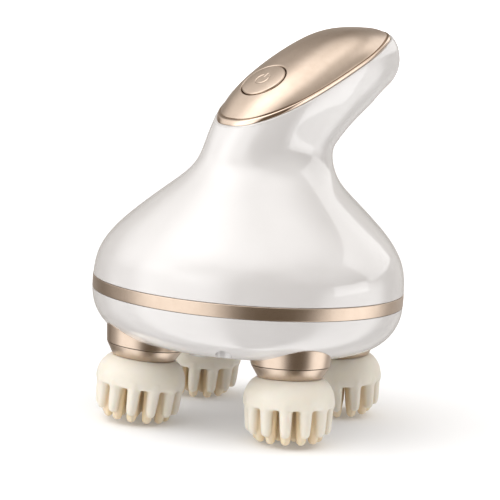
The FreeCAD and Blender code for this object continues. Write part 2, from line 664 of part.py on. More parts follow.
def gear_wire(teeth, module, scale, height, phase):
    """Closed outline of straight-sided teeth, the first one centred on the phase angle."""
    pitch = module * teeth / 2
    lean = math.tan(math.radians(PRESSURE_ANGLE))
    half_pitch = module * math.pi * TOOTH_SHARE / 2
    points = []
    for tooth in range(teeth):
        middle = math.radians(phase + 360 * tooth / teeth)
        for side, lift in ((-1, -TOOTH_ROOT), (-1, TOOTH_TIP), (1, TOOTH_TIP), (1, -TOOTH_ROOT)):
            radius = pitch + lift * module
            half = half_pitch - lift * module * lean
            turn = middle + side * half / radius
            spot = Vector(radius * math.cos(turn), radius * math.sin(turn), 0)
            points.append(spot * scale + Vector(0, 0, height))
    return Part.makePolygon(points + [points[0]])


def gear_disc(teeth, module, bottom, top, phase, apex=None):
    """Gear between two heights; with an apex, its teeth taper toward that point on the axis."""
    scales = [1.0, 1.0]
    if apex:
        span = (top - bottom) / 2
        scales = [(apex + span) / apex, (apex - span) / apex]
    wires = []
    for scale, height in zip(scales, (bottom, top)):
        wires.append(gear_wire(teeth, module, scale, height, phase))
    return Part.makeLoft(wires, True, True)


def make_central_gear():
    bottom = GEAR_HEIGHT - GEAR_WIDTH / 2
    apex = APEX_DISTANCE * math.cos(SPLAY) + OUTPUT_RADIUS * math.sin(SPLAY)
    lower = gear_disc(CENTRAL_TEETH, MODULE, bottom, bottom + GEAR_WIDTH, HEAD_CLOCK, apex)
    upper_top = UPPER_TIER_BOTTOM + GEAR_WIDTH
    upper = gear_disc(UPPER_TEETH, MODULE, UPPER_TIER_BOTTOM, upper_top, COMPOUND_ANGLE)
    neck = disc(UPPER_RADIUS - 2 * TOOTH_ROOT * MODULE, bottom, upper_top)
    hub_bottom = FLOOR_TOP + AXLE_SEAT + GEAR_END_GAP
    hub = disc(CENTRAL_AXLE_RADIUS + HUB_WALL, hub_bottom, PLATE_HEIGHT - GEAR_END_GAP)
    bore = disc(CENTRAL_AXLE_RADIUS + AXLE_RUNNING_GAP, 0, PLATE_HEIGHT)
    return lower.fuse([upper, neck, hub]).cut(bore).removeSplitter()


def make_compound_gear():
    place = polar(COMPOUND_DISTANCE, COMPOUND_ANGLE)
    facing = COMPOUND_ANGLE + 180
    top = UPPER_TIER_BOTTOM + GEAR_WIDTH
    small = gear_disc(SMALL_TEETH, MODULE, UPPER_TIER_BOTTOM, LARGE_GEAR_BOTTOM, facing + 180 / SMALL_TEETH)
    large = gear_disc(LARGE_TEETH, FINE_MODULE, LARGE_GEAR_BOTTOM, LARGE_GEAR_BOTTOM + GEAR_WIDTH, facing)
    hub_radius = COMPOUND_AXLE_RADIUS + HUB_WALL / 2
    hub = disc(hub_radius, FLOOR_TOP + AXLE_SEAT + GEAR_END_GAP, PLATE_HEIGHT - GEAR_END_GAP)
    tail = COMPOUND_DISTANCE - CENTRAL_RADIUS - MODULE
    sleeve = disc(min(hub_radius, tail - GEAR_END_GAP), FLOOR_TOP + AXLE_SEAT + GEAR_END_GAP, top)
    hub = hub.cut(disc(hub_radius + 1, 0, UPPER_TIER_BOTTOM)).fuse(sleeve)
    bore = disc(COMPOUND_AXLE_RADIUS + AXLE_RUNNING_GAP, 0, PLATE_HEIGHT)
    gear = small.fuse([large, hub]).cut(bore).removeSplitter()
    gear.translate(place)
    return gear


def motor_place():
    return polar(MOTOR_DISTANCE, COMPOUND_ANGLE)


def make_motor_pinion():
    phase = COMPOUND_ANGLE + 180 / PINION_TEETH
    pinion = gear_disc(PINION_TEETH, FINE_MODULE, LARGE_GEAR_BOTTOM, LARGE_GEAR_BOTTOM + GEAR_WIDTH, phase)
    pinion = pinion.cut(disc(MOTOR_SHAFT_RADIUS, 0, PLATE_HEIGHT))
    pinion.translate(motor_place())
    return pinion


def make_axle(radius, place):
    return disc(radius, FLOOR_TOP, GEAR_PLATE_TOP, place)


# Gear plate, motor, control board

def standoff_places():
    half_length = BOARD_LENGTH / 2 - STANDOFF_RADIUS
    half_width = BOARD_WIDTH / 2 - STANDOFF_RADIUS
    corners = itertools.product((-half_length, half_length), (-half_width, half_width))
    return [Vector(BOARD_CENTRE + x, y, 0) for x, y in corners]


def motor_screw_places():
    centre = motor_place()
    return [centre + polar(MOTOR_SCREW_CIRCLE, COMPOUND_ANGLE + side) for side in (90, -90)]


def make_gear_plate():
    plate = disc(GEAR_PLATE_RADIUS, PLATE_HEIGHT, GEAR_PLATE_TOP)
    for spot in standoff_places():
        plate = plate.fuse(disc(STANDOFF_RADIUS, PLATE_HEIGHT, GEAR_PLATE_TOP + STANDOFF_HEIGHT, spot))
    cuts = [disc(MOTOR_PILOT_RADIUS + MOTOR_PILOT_GAP, 0, NECK_HEIGHT, motor_place())]
    cuts.append(disc(CENTRAL_AXLE_RADIUS, 0, NECK_HEIGHT))
    cuts.append(disc(COMPOUND_AXLE_RADIUS, 0, NECK_HEIGHT, polar(COMPOUND_DISTANCE, COMPOUND_ANGLE)))
    for angle in post_angles():
        cuts.append(disc(SCREW_RADIUS + SCREW_HOLE_GAP, 0, NECK_HEIGHT, polar(POST_CIRCLE, angle)))
    for spot in motor_screw_places():
        cuts.append(disc(MOTOR_SCREW_RADIUS, 0, NECK_HEIGHT, spot))
    return plate.cut(cuts).removeSplitter()


def make_motor():
    place = motor_place()
    can = disc(MOTOR_RADIUS, GEAR_PLATE_TOP, GEAR_PLATE_TOP + MOTOR_LENGTH, place)
    pilot = disc(MOTOR_PILOT_RADIUS, GEAR_PLATE_TOP - MOTOR_PILOT_HEIGHT, GEAR_PLATE_TOP, place)
    cap_bottom = GEAR_PLATE_TOP + MOTOR_LENGTH
    cap = disc(MOTOR_CAP_RADIUS, cap_bottom, cap_bottom + MOTOR_CAP_HEIGHT, place)
    cuts = [disc(MOTOR_SHAFT_RADIUS + MOTOR_SHAFT_GAP, 0, GEAR_PLATE_TOP + MOTOR_SHAFT_DEPTH, place)]
    for spot in motor_screw_places():
        cuts.append(disc(MOTOR_SCREW_RADIUS, 0, GEAR_PLATE_TOP + MOTOR_SCREW_GRIP, spot))
    return can.fuse([pilot, cap]).cut(cuts).removeSplitter()


def make_motor_shaft():
    return disc(MOTOR_SHAFT_RADIUS, LARGE_GEAR_BOTTOM, GEAR_PLATE_TOP + MOTOR_SHAFT_DEPTH - 1, motor_place())


def make_motor_screws():
    screws = []
    for spot in motor_screw_places():
        head = disc(MOTOR_SCREW_HEAD_RADIUS, PLATE_HEIGHT - MOTOR_SCREW_HEAD_HEIGHT, PLATE_HEIGHT, spot)
        shank = disc(MOTOR_SCREW_RADIUS, PLATE_HEIGHT, GEAR_PLATE_TOP + MOTOR_SCREW_GRIP - 0.5, spot)
        screws.append(head.fuse(shank).removeSplitter())
    return Part.makeCompound(screws)


def make_control_board():
    bottom = GEAR_PLATE_TOP + STANDOFF_HEIGHT
    board = Part.makeBox(BOARD_LENGTH, BOARD_WIDTH, BOARD_THICKNESS)
    board.translate(Vector(BOARD_CENTRE - BOARD_LENGTH / 2, -BOARD_WIDTH / 2, bottom))
    top = bottom + BOARD_THICKNESS
    chip = Part.makeBox(CHIP_SIDE, CHIP_SIDE, CHIP_HEIGHT)
    chip.translate(Vector(BOARD_CENTRE - CHIP_SIDE / 2, -BOARD_WIDTH / 4 - CHIP_SIDE / 2, top))
    spot = Vector(BOARD_CENTRE - BOARD_LENGTH / 4, BOARD_WIDTH / 4, 0)
    capacitor = disc(CAPACITOR_RADIUS, top, top + CAPACITOR_HEIGHT, spot)
    return board.fuse([chip, capacitor]).removeSplitter()


def rounded_route(points):
    """Straight runs through the points, joined by tangent arcs as large as the runs allow."""
    edges = []
    start = points[0]
    for before, corner, after in zip(points, points[1:], points[2:]):
        backward = before - corner
        onward = after - corner
        trim = WIRE_ARC_SHARE * min(backward.Length, onward.Length)
        backward.normalize()
        onward.normalize()
        half_turn = backward.getAngle(onward) / 2
        bisector = backward + onward
        bisector.normalize()
        middle = corner + bisector * trim * (1 / math.cos(half_turn) - math.tan(half_turn))
        edges.append(Part.makeLine(start, corner + backward * trim))
        edges.append(Part.Arc(corner + backward * trim, middle, corner + onward * trim).toShape())
        start = corner + onward * trim
    edges.append(Part.makeLine(start, points[-1]))
    return Part.Wire(edges)


def make_wiring(place):
    """Bundle of leads from the control board up the front of the neck to the button board."""
    start = Vector(BOARD_CENTRE + BOARD_LENGTH / 4, 0, GEAR_PLATE_TOP + STANDOFF_HEIGHT + BOARD_THICKNESS)
    board_under = place.multVec(Vector(-WIRE_BOARD_FORE, 0, board_top_depth() - BOARD_THICKNESS))
    inward = place.Rotation.multVec(Vector(0, 0, -1))
    bend = Vector(WIRE_BEND_FORWARD, 0, NECK_HEIGHT - WIRE_BEND_BELOW_NECK)
    points = [start, start + Vector(0, 0, WIRE_LEAD), bend, board_under + inward * WIRE_LEAD, board_under]
    circle = Part.Wire(Part.makeCircle(WIRE_RADIUS, start, Vector(0, 0, 1)))
    return rounded_route(points).makePipeShell([circle], True, False)


# Charging socket

def make_charging_socket():
    place = Vector(SOCKET_FORWARD, 0, 0)
    bottom = FLOOR_HEIGHT - SOCKET_DROP
    barrel = disc(SOCKET_RADIUS, bottom, SOCKET_TOP, place)
    flange = disc(SOCKET_FLANGE_RADIUS, FLOOR_TOP, FLOOR_TOP + SOCKET_FLANGE_HEIGHT, place)
    seat = disc(SOCKET_BORE_RADIUS + SLEEVE_WALL, 0, bottom + SOCKET_BORE_DEPTH, place)
    return barrel.fuse(flange).cut(seat).removeSplitter()


def make_socket_sleeve():
    place = Vector(SOCKET_FORWARD, 0, 0)
    bottom = FLOOR_HEIGHT - SOCKET_DROP
    top = bottom + SOCKET_BORE_DEPTH
    outer = SOCKET_BORE_RADIUS + SLEEVE_WALL
    sleeve = disc(outer, bottom, top, place)
    lip = disc(outer + SLEEVE_WALL, bottom - SLEEVE_LIP, bottom, place)
    return sleeve.fuse(lip).cut(disc(SOCKET_BORE_RADIUS, 0, top - SLEEVE_WALL, place)).removeSplitter()


# Massage heads, each made about its own axis

def head_placement(index):
    angle = HEAD_CLOCK + 360 / 4 * index
    splay = FreeCAD.Rotation(Vector(0, 1, 0), -HEAD_SPLAY)
    axis = splay.multVec(Vector(0, 0, 1))
    foot = Vector(OUTPUT_CENTRE_RADIUS, 0, OUTPUT_CENTRE_HEIGHT) - axis * OUTPUT_ALONG
    turn = FreeCAD.Placement(Vector(0, 0, 0), FreeCAD.Rotation(Vector(0, 0, 1), angle))
    return turn.multiply(FreeCAD.Placement(foot, splay))


def make_finger(lift):
    tip = lift + FINGER_TIP_RADIUS
    cone = Part.makeCone(FINGER_TIP_RADIUS, FINGER_ROOT_RADIUS, FINGER_ROOT_HEIGHT - tip, Vector(0, 0, tip))
    return cone.fuse(Part.makeSphere(FINGER_TIP_RADIUS, Vector(0, 0, tip)))


def make_massage_head():
    """Silicone dome with rings of paired fingers, an inner ring and a centre finger, hollow for the hub."""
    edge = HEAD_EDGE_RADIUS * math.sin(math.radians(45))
    inner = HEAD_RIM_RADIUS - HEAD_EDGE_RADIUS
    dome = revolve([
        profile_line((0, HEAD_BOTTOM), (inner, HEAD_BOTTOM)),
        profile_arc((inner, HEAD_BOTTOM), (inner + edge, HEAD_RIM_HEIGHT - edge),
                    (HEAD_RIM_RADIUS, HEAD_RIM_HEIGHT)),
        profile_arc((HEAD_RIM_RADIUS, HEAD_RIM_HEIGHT),
                    (HEAD_BULGE_RADIUS, HEAD_RIM_HEIGHT + HEAD_BULGE_HEIGHT), (HEAD_TOP_RADIUS, HEAD_TOP)),
        profile_line((HEAD_TOP_RADIUS, HEAD_TOP), (0, HEAD_TOP)),
        profile_line((0, HEAD_TOP), (0, HEAD_BOTTOM)),
    ])
    fingers = [make_finger(INNER_FINGER_LIFT)]
    rings = ((FINGER_PAIRS, OUTER_FINGER_CIRCLE, OUTER_FINGER_LIFT),
             (FINGER_PAIRS, MIDDLE_FINGER_CIRCLE, 0),
             (INNER_FINGER_COUNT, INNER_FINGER_CIRCLE, INNER_FINGER_LIFT))
    for count, circle, lift in rings:
        for number in range(count):
            finger = make_finger(lift)
            finger.translate(polar(circle, 360 * number / count))
            fingers.append(finger)
    head = dome.fuse(fingers)
    pocket = disc(HUB_RADIUS, HEAD_TOP - HUB_HEIGHT, HEAD_TOP)
    return head.cut(pocket).removeSplitter()


def make_hub():
    bottom = HEAD_TOP - HUB_HEIGHT
    hub = disc(HUB_RADIUS, bottom, HEAD_TOP).fuse(disc(HUB_NECK_RADIUS, HEAD_TOP, HUB_NECK_TOP))
    return hub.cut(disc(SHAFT_RADIUS, HUB_NECK_TOP - SHAFT_IN_HUB, HUB_NECK_TOP + 1)).removeSplitter()


def make_head_ring():
    ring = Part.makeCone(HEAD_TOP_RADIUS, RING_TOP_RADIUS, RING_TOP - HEAD_TOP, Vector(0, 0, HEAD_TOP))
    return ring.cut(disc(HUB_NECK_RADIUS, HEAD_TOP - 1, RING_TOP + 1))


def make_collar(place, lower_outer):
    top = COLLAR_BOTTOM + COLLAR_REACH
    cone = Part.makeCone(COLLAR_BOTTOM_RADIUS, COLLAR_BOTTOM_RADIUS + COLLAR_SPREAD, COLLAR_REACH,
                         Vector(0, 0, COLLAR_BOTTOM))
    collar = moved(cone.cut(disc(COLLAR_BORE, 0, top + 1)), place)
    return collar.cut(lower_outer).removeSplitter()


def make_seal():
    return tube(COLLAR_BORE, SHAFT_RADIUS + SEAL_SHAFT_GAP, SEAL_TOP - SEAL_HEIGHT, SEAL_TOP)


def make_bush():
    body_part = disc(BUSH_RADIUS, SEAL_TOP, BOSS_TOP)
    flange = disc(BUSH_FLANGE_RADIUS, BOSS_TOP, BOSS_TOP + BUSH_FLANGE_HEIGHT)
    bore = disc(SHAFT_RADIUS + SHAFT_RUNNING_GAP, 0, OUTPUT_ALONG)
    return body_part.fuse(flange).cut(bore).removeSplitter()


def make_head_shaft():
    return disc(SHAFT_RADIUS, HUB_NECK_TOP - SHAFT_IN_HUB, OUTPUT_ALONG + GEAR_WIDTH / 2 + SHAFT_ABOVE_GEAR)


def make_output_gear():
    top = OUTPUT_BOTTOM + GEAR_WIDTH
    gear = gear_disc(OUTPUT_TEETH, MODULE, OUTPUT_BOTTOM, top, 180 / OUTPUT_TEETH, APEX_DISTANCE)
    return gear.cut(disc(SHAFT_RADIUS, 0, top + 1))


def build():
    """Every piece of the part by node name, about the axis of the base."""
    seats = [head_placement(index) for index in range(4)]
    button = button_placement()
    lower_outer = make_lower_outer()
    pieces = {
        "lower_shell": make_lower_shell(lower_outer, make_lower_inner(), seats),
        "upper_shell": make_upper_shell(),
        "trim_band": make_trim_band(),
        "shell_gasket": make_shell_gasket(),
        "shell_screws": make_shell_screws(),
        "plate_rim": make_plate_rim(),
        "top_plate": make_top_plate(button),
        "power_button": make_power_button(button),
        "switch_plunger": make_switch_plunger(button),
        "tact_switch": make_tact_switch(button),
        "button_board": make_button_board(button),
        "board_screws": make_board_screws(button),
        "battery_cell": make_battery_cell(),
        "battery_cradle": make_battery_cradle(),
        "central_axle": make_axle(CENTRAL_AXLE_RADIUS, Vector(0, 0, 0)),
        "central_gear": make_central_gear(),
        "compound_axle": make_axle(COMPOUND_AXLE_RADIUS, polar(COMPOUND_DISTANCE, COMPOUND_ANGLE)),
        "compound_gear": make_compound_gear(),
        "gear_plate": make_gear_plate(),
        "motor": make_motor(),
        "motor_shaft": make_motor_shaft(),
        "motor_pinion": make_motor_pinion(),
        "motor_screws": make_motor_screws(),
        "control_board": make_control_board(),
        "wiring": make_wiring(button),
        "charging_socket": make_charging_socket(),
        "socket_sleeve": make_socket_sleeve(),
    }
    head_pieces = {
        "massage_head": make_massage_head(),
        "head_hub": make_hub(),
        "head_ring": make_head_ring(),
        "head_shaft": make_head_shaft(),
        "output_gear": make_output_gear(),
        "shaft_bush": make_bush(),
        "shaft_seal": make_seal(),
    }
    for name, place in zip(HEAD_NAMES, seats):
        for piece, shape in head_pieces.items():
            pieces[name + "_" + piece] = moved(shape, place)
        pieces[name + "_collar"] = make_collar(place, lower_outer)
    return pieces


def centre_shift():
    """Move that brings the middle of the overall box over the origin."""
    tip = body(0).optimalBoundingBox(False, False).XMax
    return Vector((BASE_RADIUS + BAND_PROUD - tip) / 2, 0, 0)


def main():
    os.makedirs("parts", exist_ok=True)
    shift = centre_shift()
    print("centre shift", round(shift.x, 3))
    for name, shape in build().items():
        shape.translate(shift)
        shape.exportStep("parts/" + name + ".step")


main()
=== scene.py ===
import json
import math

import bmesh
import bpy
import numpy as np
from mathutils import Matrix, Quaternion, Vector
from mathutils.bvhtree import BVHTree
from mathutils.kdtree import KDTree


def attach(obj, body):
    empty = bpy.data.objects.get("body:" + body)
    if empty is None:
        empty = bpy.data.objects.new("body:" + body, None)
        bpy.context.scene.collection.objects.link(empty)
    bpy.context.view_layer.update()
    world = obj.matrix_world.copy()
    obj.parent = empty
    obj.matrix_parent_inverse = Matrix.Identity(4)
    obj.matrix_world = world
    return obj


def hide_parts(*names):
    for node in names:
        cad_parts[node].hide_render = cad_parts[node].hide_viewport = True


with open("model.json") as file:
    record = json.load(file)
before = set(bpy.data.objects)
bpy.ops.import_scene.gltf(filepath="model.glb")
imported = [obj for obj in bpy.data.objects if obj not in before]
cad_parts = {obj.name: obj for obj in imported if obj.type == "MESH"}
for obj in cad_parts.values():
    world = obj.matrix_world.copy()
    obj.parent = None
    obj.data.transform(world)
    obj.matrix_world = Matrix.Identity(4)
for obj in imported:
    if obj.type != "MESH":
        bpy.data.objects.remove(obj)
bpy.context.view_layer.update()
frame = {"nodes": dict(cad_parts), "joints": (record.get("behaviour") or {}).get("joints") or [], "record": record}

scene = bpy.context.scene
joints = {joint["name"]: joint for joint in frame["joints"]}
slots = {part["node"]: part["material_slot"] for part in frame["record"]["subparts"]}

# Sizes are in millimetres, measured from the axis of the round base and from the floor
MM = 0.001
base_x = joints["central_spin"]["pos_m"][0] / MM

# Base, dome, neck and handle
BASE_RADIUS = 62.4
UNDERSIDE_HEIGHT = 32.2
BASE_CORNER = 18.0
LOWER_TOP = 50.4
UPPER_BOTTOM = 55.6
DOME_SECTIONS = 6
DOME_FULLNESS_POWER = 1.2
DOME_SHIFT_POWER = 1.5
DOME_LEAN_POWER = 3.0
ROUND_POWER = 2.0
NECK_HEIGHT = 110.6
# Neck and handle sections: forward, height, lean, half depth, half width, crown power, extra depth below
NECK = (7.5, NECK_HEIGHT, 6.0, 27.6, 21.5, 2.3, 0.0)
HANDLE = [
    (13.0, 120.1, 20.0, 24.4, 21.6, 2.7, 0.3),
    (23.5, 129.0, 42.0, 20.8, 21.6, 3.0, 0.0),
    (35.2, 136.7, 58.0, 19.2, 20.6, 2.9, 0.0),
    (48.1, 143.0, 68.0, 17.5, 18.8, 2.7, -0.5),
    (59.8, 147.4, 75.0, 13.4, 15.2, 2.4, 1.0),
]
TIP_LENGTH = 11.4
TIP_ENTRY = 0.35
TIP_SHARES = (0.15, 0.3, 0.45, 0.6, 0.72, 0.82, 0.9, 0.955, 0.985, 0.998)
BODY_COLUMNS = 176
BODY_ROWS = 150
TIP_ROWS = 34

# Sloping joint, shell lips, rim, plate and button
PARTING_HEIGHT = 126.4
PARTING_SLOPE = math.radians(26.0)
OUTLINE_MIDDLE = 30.0
OUTLINE_RAYS = 1440
OUTLINE_POINTS = 480
OUTLINE_NEIGHBOUR = 4
TRACE_INSIDE = 9.0
SHELL_LIP = 0.35
LIP_WIDTH = 2.2
LIP_WALL = 2.4
LIP_DEPTH = 3.0
SHORTEST_EDGE = 0.03
# Profiles of the rim and of the plate's edge: height over the joint and way inward
RIM_PROFILE = [(0.06, 1.9), (0.06, 0.78), (0.1, 0.64), (0.2, 0.54), (0.5, 0.41), (0.85, 0.27), (1.15, 0.18),
               (1.34, 0.15), (1.46, 0.21), (1.53, 0.36), (1.54, 0.6), (1.54, 1.9)]
PLATE_INSET = 0.6
PLATE_EDGE_HEIGHT = 1.95
PLATE_EDGE = [(1.84, 0.03), (1.73, 0.12), (1.65, 0.27), (1.62, 0.45), (1.62, 1.7), (3.2, 2.4)]
PLATE_LEVELS = 64
SPINE_POINTS = 200
BUTTON_ALONG = 6.8
BUTTON_SLOPE = math.radians(39.0)
BUTTON_RADIUS = 9.3
BUTTON_GAP = 0.4
BUTTON_RAISED = 0.3
BUTTON_ROUND = 0.5
BUTTON_SKIRT = (1.2, 2.6)
BUTTON_INNERMOST = 0.12
BUTTON_ROWS = 72
BUTTON_SEGMENTS = 288
CROWN_CAST = 8.0
# Rounded edge of the button's hole: way outward and depth
HOLE_ROUND = 0.42
HOLE_EDGE = [(0, 2.4), (0, 0.42), (0.04, 0.27), (0.13, 0.13), (0.26, 0.04)]
# On-off mark: open ring with a bar, pressed into the button
MARK_RADIUS = 2.9
MARK_OPENING = math.radians(32)
MARK_BAR = (1.0, 3.9)
MARK_HALF_WIDTH = 0.42
MARK_SLOPE = 0.2
MARK_DEPTH = 0.12

# Band between the half shells
BAND_INSIDE = 60.9
BAND_OUTSIDE = 62.5
BAND_GAP = 0.1
BAND_ROUND = 0.35
BAND_SEGMENTS = 320

# Heads, with heights above the longest fingertips along each head's own axis
HEADS = ("rear", "left", "front", "right")
GEAR_ALONG = 41.755
HEAD_SEGMENTS = 192
EDGE_ROUND = 0.25
# Collar: the two corners of its foot and a place higher up its side
COLLAR_FOOT = [(7.1, 29.32), (15.2, 29.32), (16.8, 41.3)]
COLLAR_FLARE = 0.133
COLLAR_MIDDLE_RADIUS = 15.7
COLLAR_LOWEST_TOP = 29.6
COLLAR_HIGHEST_TOP = 44.0
COLLAR_HALVINGS = 40
COLLAR_LEVELS = 9
COLLAR_TUCK_IN = 0.6
COLLAR_TUCK_UP = 0.5
RING_CORNERS = [(6.2, 24.62), (12.4, 24.62), (15.1, 29.12), (6.2, 29.12)]
# Fingers: radii and heights, and the wider root inside the cap as extra radius and height
FINGER_TIP = 1.95
FINGER_ROOT = 2.5
FINGER_TOP = 12.8
FINGER_TAPER = 0.7
FINGER_FLARE = [(0.15, 13.4), (0.5, 14.1), (0.6, 16.5)]
FINGER_SEGMENTS = 20
MIDDLE_FINGER_LIFT = 0.6
# Rings of fingers: how many, radius of their circle, lift of their tips
FINGER_RINGS = ((12, 14.7, 3.1), (12, 11.6, 0.0), (6, 6.0, 0.6))
# Cap that carries the fingers, with a point on its round side
CAP_BOTTOM = 13.8
CAP_TOP = 24.6
CAP_RADIUS = 17.4
CAP_SIDE_FROM = 15.0
CAP_SIDE = (16.5, 20.6)
CAP_TOP_RADIUS = 12.6
CAP_RIM_ROUND = 1.0
CAP_RIM_END = 15.4
CAP_FLAT_RADIUS = 16.1
CAP_INNER_RADIUS = 8.0
CAP_SEGMENTS = 160
NEAR_AXIS = 0.01
SILICONE_VOXEL = 0.4
# Painted golden shade between the fingers, standing in for the shade and the warm light through the silicone
# there: full depth, where it begins, how it spreads and its upper end
GAP_SHADE_DEPTH = 0.72
GAP_SHADE_FROM = 16.0
GAP_SHADE_SPREAD = 3.6
GAP_SHADE_TOP = 14.4


# Materials

SHADER = "Principled BSDF"
# Part of the noise's range in which most of its values lie
NOISE_LOW = 0.3
NOISE_HIGH = 0.7
BUMP_HEIGHT = 0.0001


def new_material(name, color, roughness, metallic=0.0):
    material = bpy.data.materials.new(name)
    material.use_nodes = True
    tree = material.node_tree
    shader = tree.nodes[SHADER]
    shader.inputs["Base Color"].default_value = (*color, 1)
    shader.inputs["Roughness"].default_value = roughness
    shader.inputs["Metallic"].default_value = metallic
    return material, tree, shader


def noise(tree, scale, detail=3.0):
    """Noise in the piece's own coordinates, in cells per metre."""
    coords = tree.nodes.new("ShaderNodeTexCoord")
    texture = tree.nodes.new("ShaderNodeTexNoise")
    texture.inputs["Scale"].default_value = scale
    texture.inputs["Detail"].default_value = detail
    tree.links.new(coords.outputs["Object"], texture.inputs["Vector"])
    return texture.outputs["Fac"]


def vary_color(tree, shader, source, first, second):
    ramp = tree.nodes.new("ShaderNodeValToRGB")
    ramp.color_ramp.elements[0].position = NOISE_LOW
    ramp.color_ramp.elements[1].position = NOISE_HIGH
    ramp.color_ramp.elements[0].color = (*first, 1)
    ramp.color_ramp.elements[1].color = (*second, 1)
    tree.links.new(source, ramp.inputs["Fac"])
    tree.links.new(ramp.outputs["Color"], shader.inputs["Base Color"])


def vary_roughness(tree, shader, source, low, high):
    spread = tree.nodes.new("ShaderNodeMapRange")
    spread.inputs["From Min"].default_value = NOISE_LOW
    spread.inputs["From Max"].default_value = NOISE_HIGH
    spread.inputs["To Min"].default_value = low
    spread.inputs["To Max"].default_value = high
    tree.links.new(source, spread.inputs["Value"])
    tree.links.new(spread.outputs["Result"], shader.inputs["Roughness"])


def add_bump(tree, shader, source, strength):
    bump = tree.nodes.new("ShaderNodeBump")
    bump.inputs["Strength"].default_value = strength
    bump.inputs["Distance"].default_value = BUMP_HEIGHT
    tree.links.new(source, bump.inputs["Height"])
    tree.links.new(bump.outputs["Normal"], shader.inputs["Normal"])


def make_finish(name, first, second, rough, metallic=0.0, cell=300, grain=3000, bump=0.0):
    """Finish with a soft drift between two colours, a fine drift of roughness and a slight grain."""
    material, tree, shader = new_material(name, first, rough[0], metallic)
    vary_color(tree, shader, noise(tree, cell), first, second)
    vary_roughness(tree, shader, noise(tree, grain), *rough)
    if bump:
        add_bump(tree, shader, noise(tree, grain, 2.0), bump)
    return material


def make_white_shell():
    """Lacquered pearl white with a clear coat."""
    material = make_finish("white_shell", (0.69, 0.678, 0.676), (0.71, 0.698, 0.696), (0.16, 0.22),
                           cell=60, grain=900, bump=0.012)
    shader = material.node_tree.nodes[SHADER]
    shader.inputs["Coat Weight"].default_value = 1.0
    shader.inputs["Coat IOR"].default_value = 1.8
    shader.inputs["Coat Roughness"].default_value = 0.04
    return material


def make_silicone():
    """Milky silicone with painted golden shade between its fingers, set by the depth kept on the mesh."""
    material = make_finish("silicone", (0.81, 0.765, 0.67), (0.83, 0.79, 0.70), (0.36, 0.46),
                           cell=220, grain=2600, bump=0.03)
    tree = material.node_tree
    shader = tree.nodes[SHADER]
    milk = shader.inputs["Base Color"].links[0].from_socket
    depth = tree.nodes.new("ShaderNodeAttribute")
    depth.attribute_name = "depth"
    # Golden colour painted into the gaps between the fingers as their shade and warm glow
    gap_shade_mix = tree.nodes.new("ShaderNodeMix")
    gap_shade_mix.data_type = "RGBA"
    gap_shade_mix.inputs["B"].default_value = (0.87, 0.69, 0.43, 1)
    tree.links.new(depth.outputs["Fac"], gap_shade_mix.inputs["Factor"])
    tree.links.new(milk, gap_shade_mix.inputs["A"])
    tree.links.new(gap_shade_mix.outputs["Result"], shader.inputs["Base Color"])
    shader.inputs["Subsurface Weight"].default_value = 0.25
    shader.inputs["Subsurface Radius"].default_value = (1.0, 0.7, 0.4)
    shader.inputs["Subsurface Scale"].default_value = 0.002
    return material


# Other finishes: name, two colours, roughness, metallic, grain in cells per metre, bump
OTHER_FINISHES = [
    ("satin_gold", (0.62, 0.505, 0.41), (0.66, 0.545, 0.45), (0.27, 0.35), 1.0, 5200, 0.05),
    ("polished_gold", (0.74, 0.60, 0.49), (0.78, 0.64, 0.53), (0.07, 0.13), 1.0, 3000, 0.0),
    ("seal_rubber", (0.015, 0.015, 0.016), (0.03, 0.03, 0.03), (0.6, 0.8), 0.0, 3000, 0.1),
    ("steel", (0.50, 0.50, 0.51), (0.60, 0.60, 0.60), (0.25, 0.4), 1.0, 3000, 0.05),
    ("plated_steel", (0.62, 0.62, 0.63), (0.7, 0.7, 0.7), (0.08, 0.18), 1.0, 3000, 0.0),
    ("gear_plastic", (0.76, 0.74, 0.66), (0.8, 0.78, 0.71), (0.4, 0.55), 0.0, 3000, 0.05),
    ("frame_plastic", (0.06, 0.063, 0.067), (0.085, 0.088, 0.09), (0.5, 0.7), 0.0, 3000, 0.15),
    ("bearing_bronze", (0.48, 0.26, 0.09), (0.56, 0.33, 0.13), (0.3, 0.45), 1.0, 3000, 0.1),
    ("board", (0.008, 0.065, 0.025), (0.012, 0.085, 0.035), (0.3, 0.45), 0.0, 3000, 0.05),
    ("cell_wrap", (0.04, 0.14, 0.32), (0.055, 0.17, 0.37), (0.25, 0.4), 0.0, 3000, 0.03),
    ("wire_jacket", (0.3, 0.014, 0.01), (0.36, 0.02, 0.014), (0.4, 0.55), 0.0, 3000, 0.05),
]
finishes = {"white_shell": make_white_shell(), "silicone": make_silicone()}
for name, first, second, rough, metallic, grain, bump in OTHER_FINISHES:
    finishes[name] = make_finish(name, first, second, rough, metallic, grain=grain, bump=bump)
for node, part in frame["nodes"].items():
    for material_slot in part.material_slots:
        material_slot.material = finishes[slots[node]]


# Mesh helpers

def grid_faces(rows, columns, loop=False):
    """Quads between rows of closed rings; a loop joins the last row to the first."""
    faces = []
    for row in range(rows if loop else rows - 1):
        upper = (row + 1) % rows
        for column in range(columns):
            after = (column + 1) % columns
            faces.append((row * columns + column, row * columns + after,
                          upper * columns + after, upper * columns + column))
    return faces


def finish_piece(name, mesh, slot, body, nodes, sharp=40, place=None):
    """Puts a mesh in the scene as a piece that stands for CAD nodes and moves with their body."""
    if place is not None:
        mesh.transform(place)
    mesh.shade_smooth()
    mesh.set_sharp_from_angle(angle=math.radians(sharp))
    mesh.materials.append(finishes[slot])
    piece = bpy.data.objects.new(name, mesh)
    scene.collection.objects.link(piece)
    bpy.context.view_layer.update()
    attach(piece, body)
    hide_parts(*nodes)
    return piece


def to_frame(points):
    """Points about the base's axis in millimetres as points of the shared frame in metres."""
    return (np.asarray(points) + np.array([base_x, 0, 0])) * MM


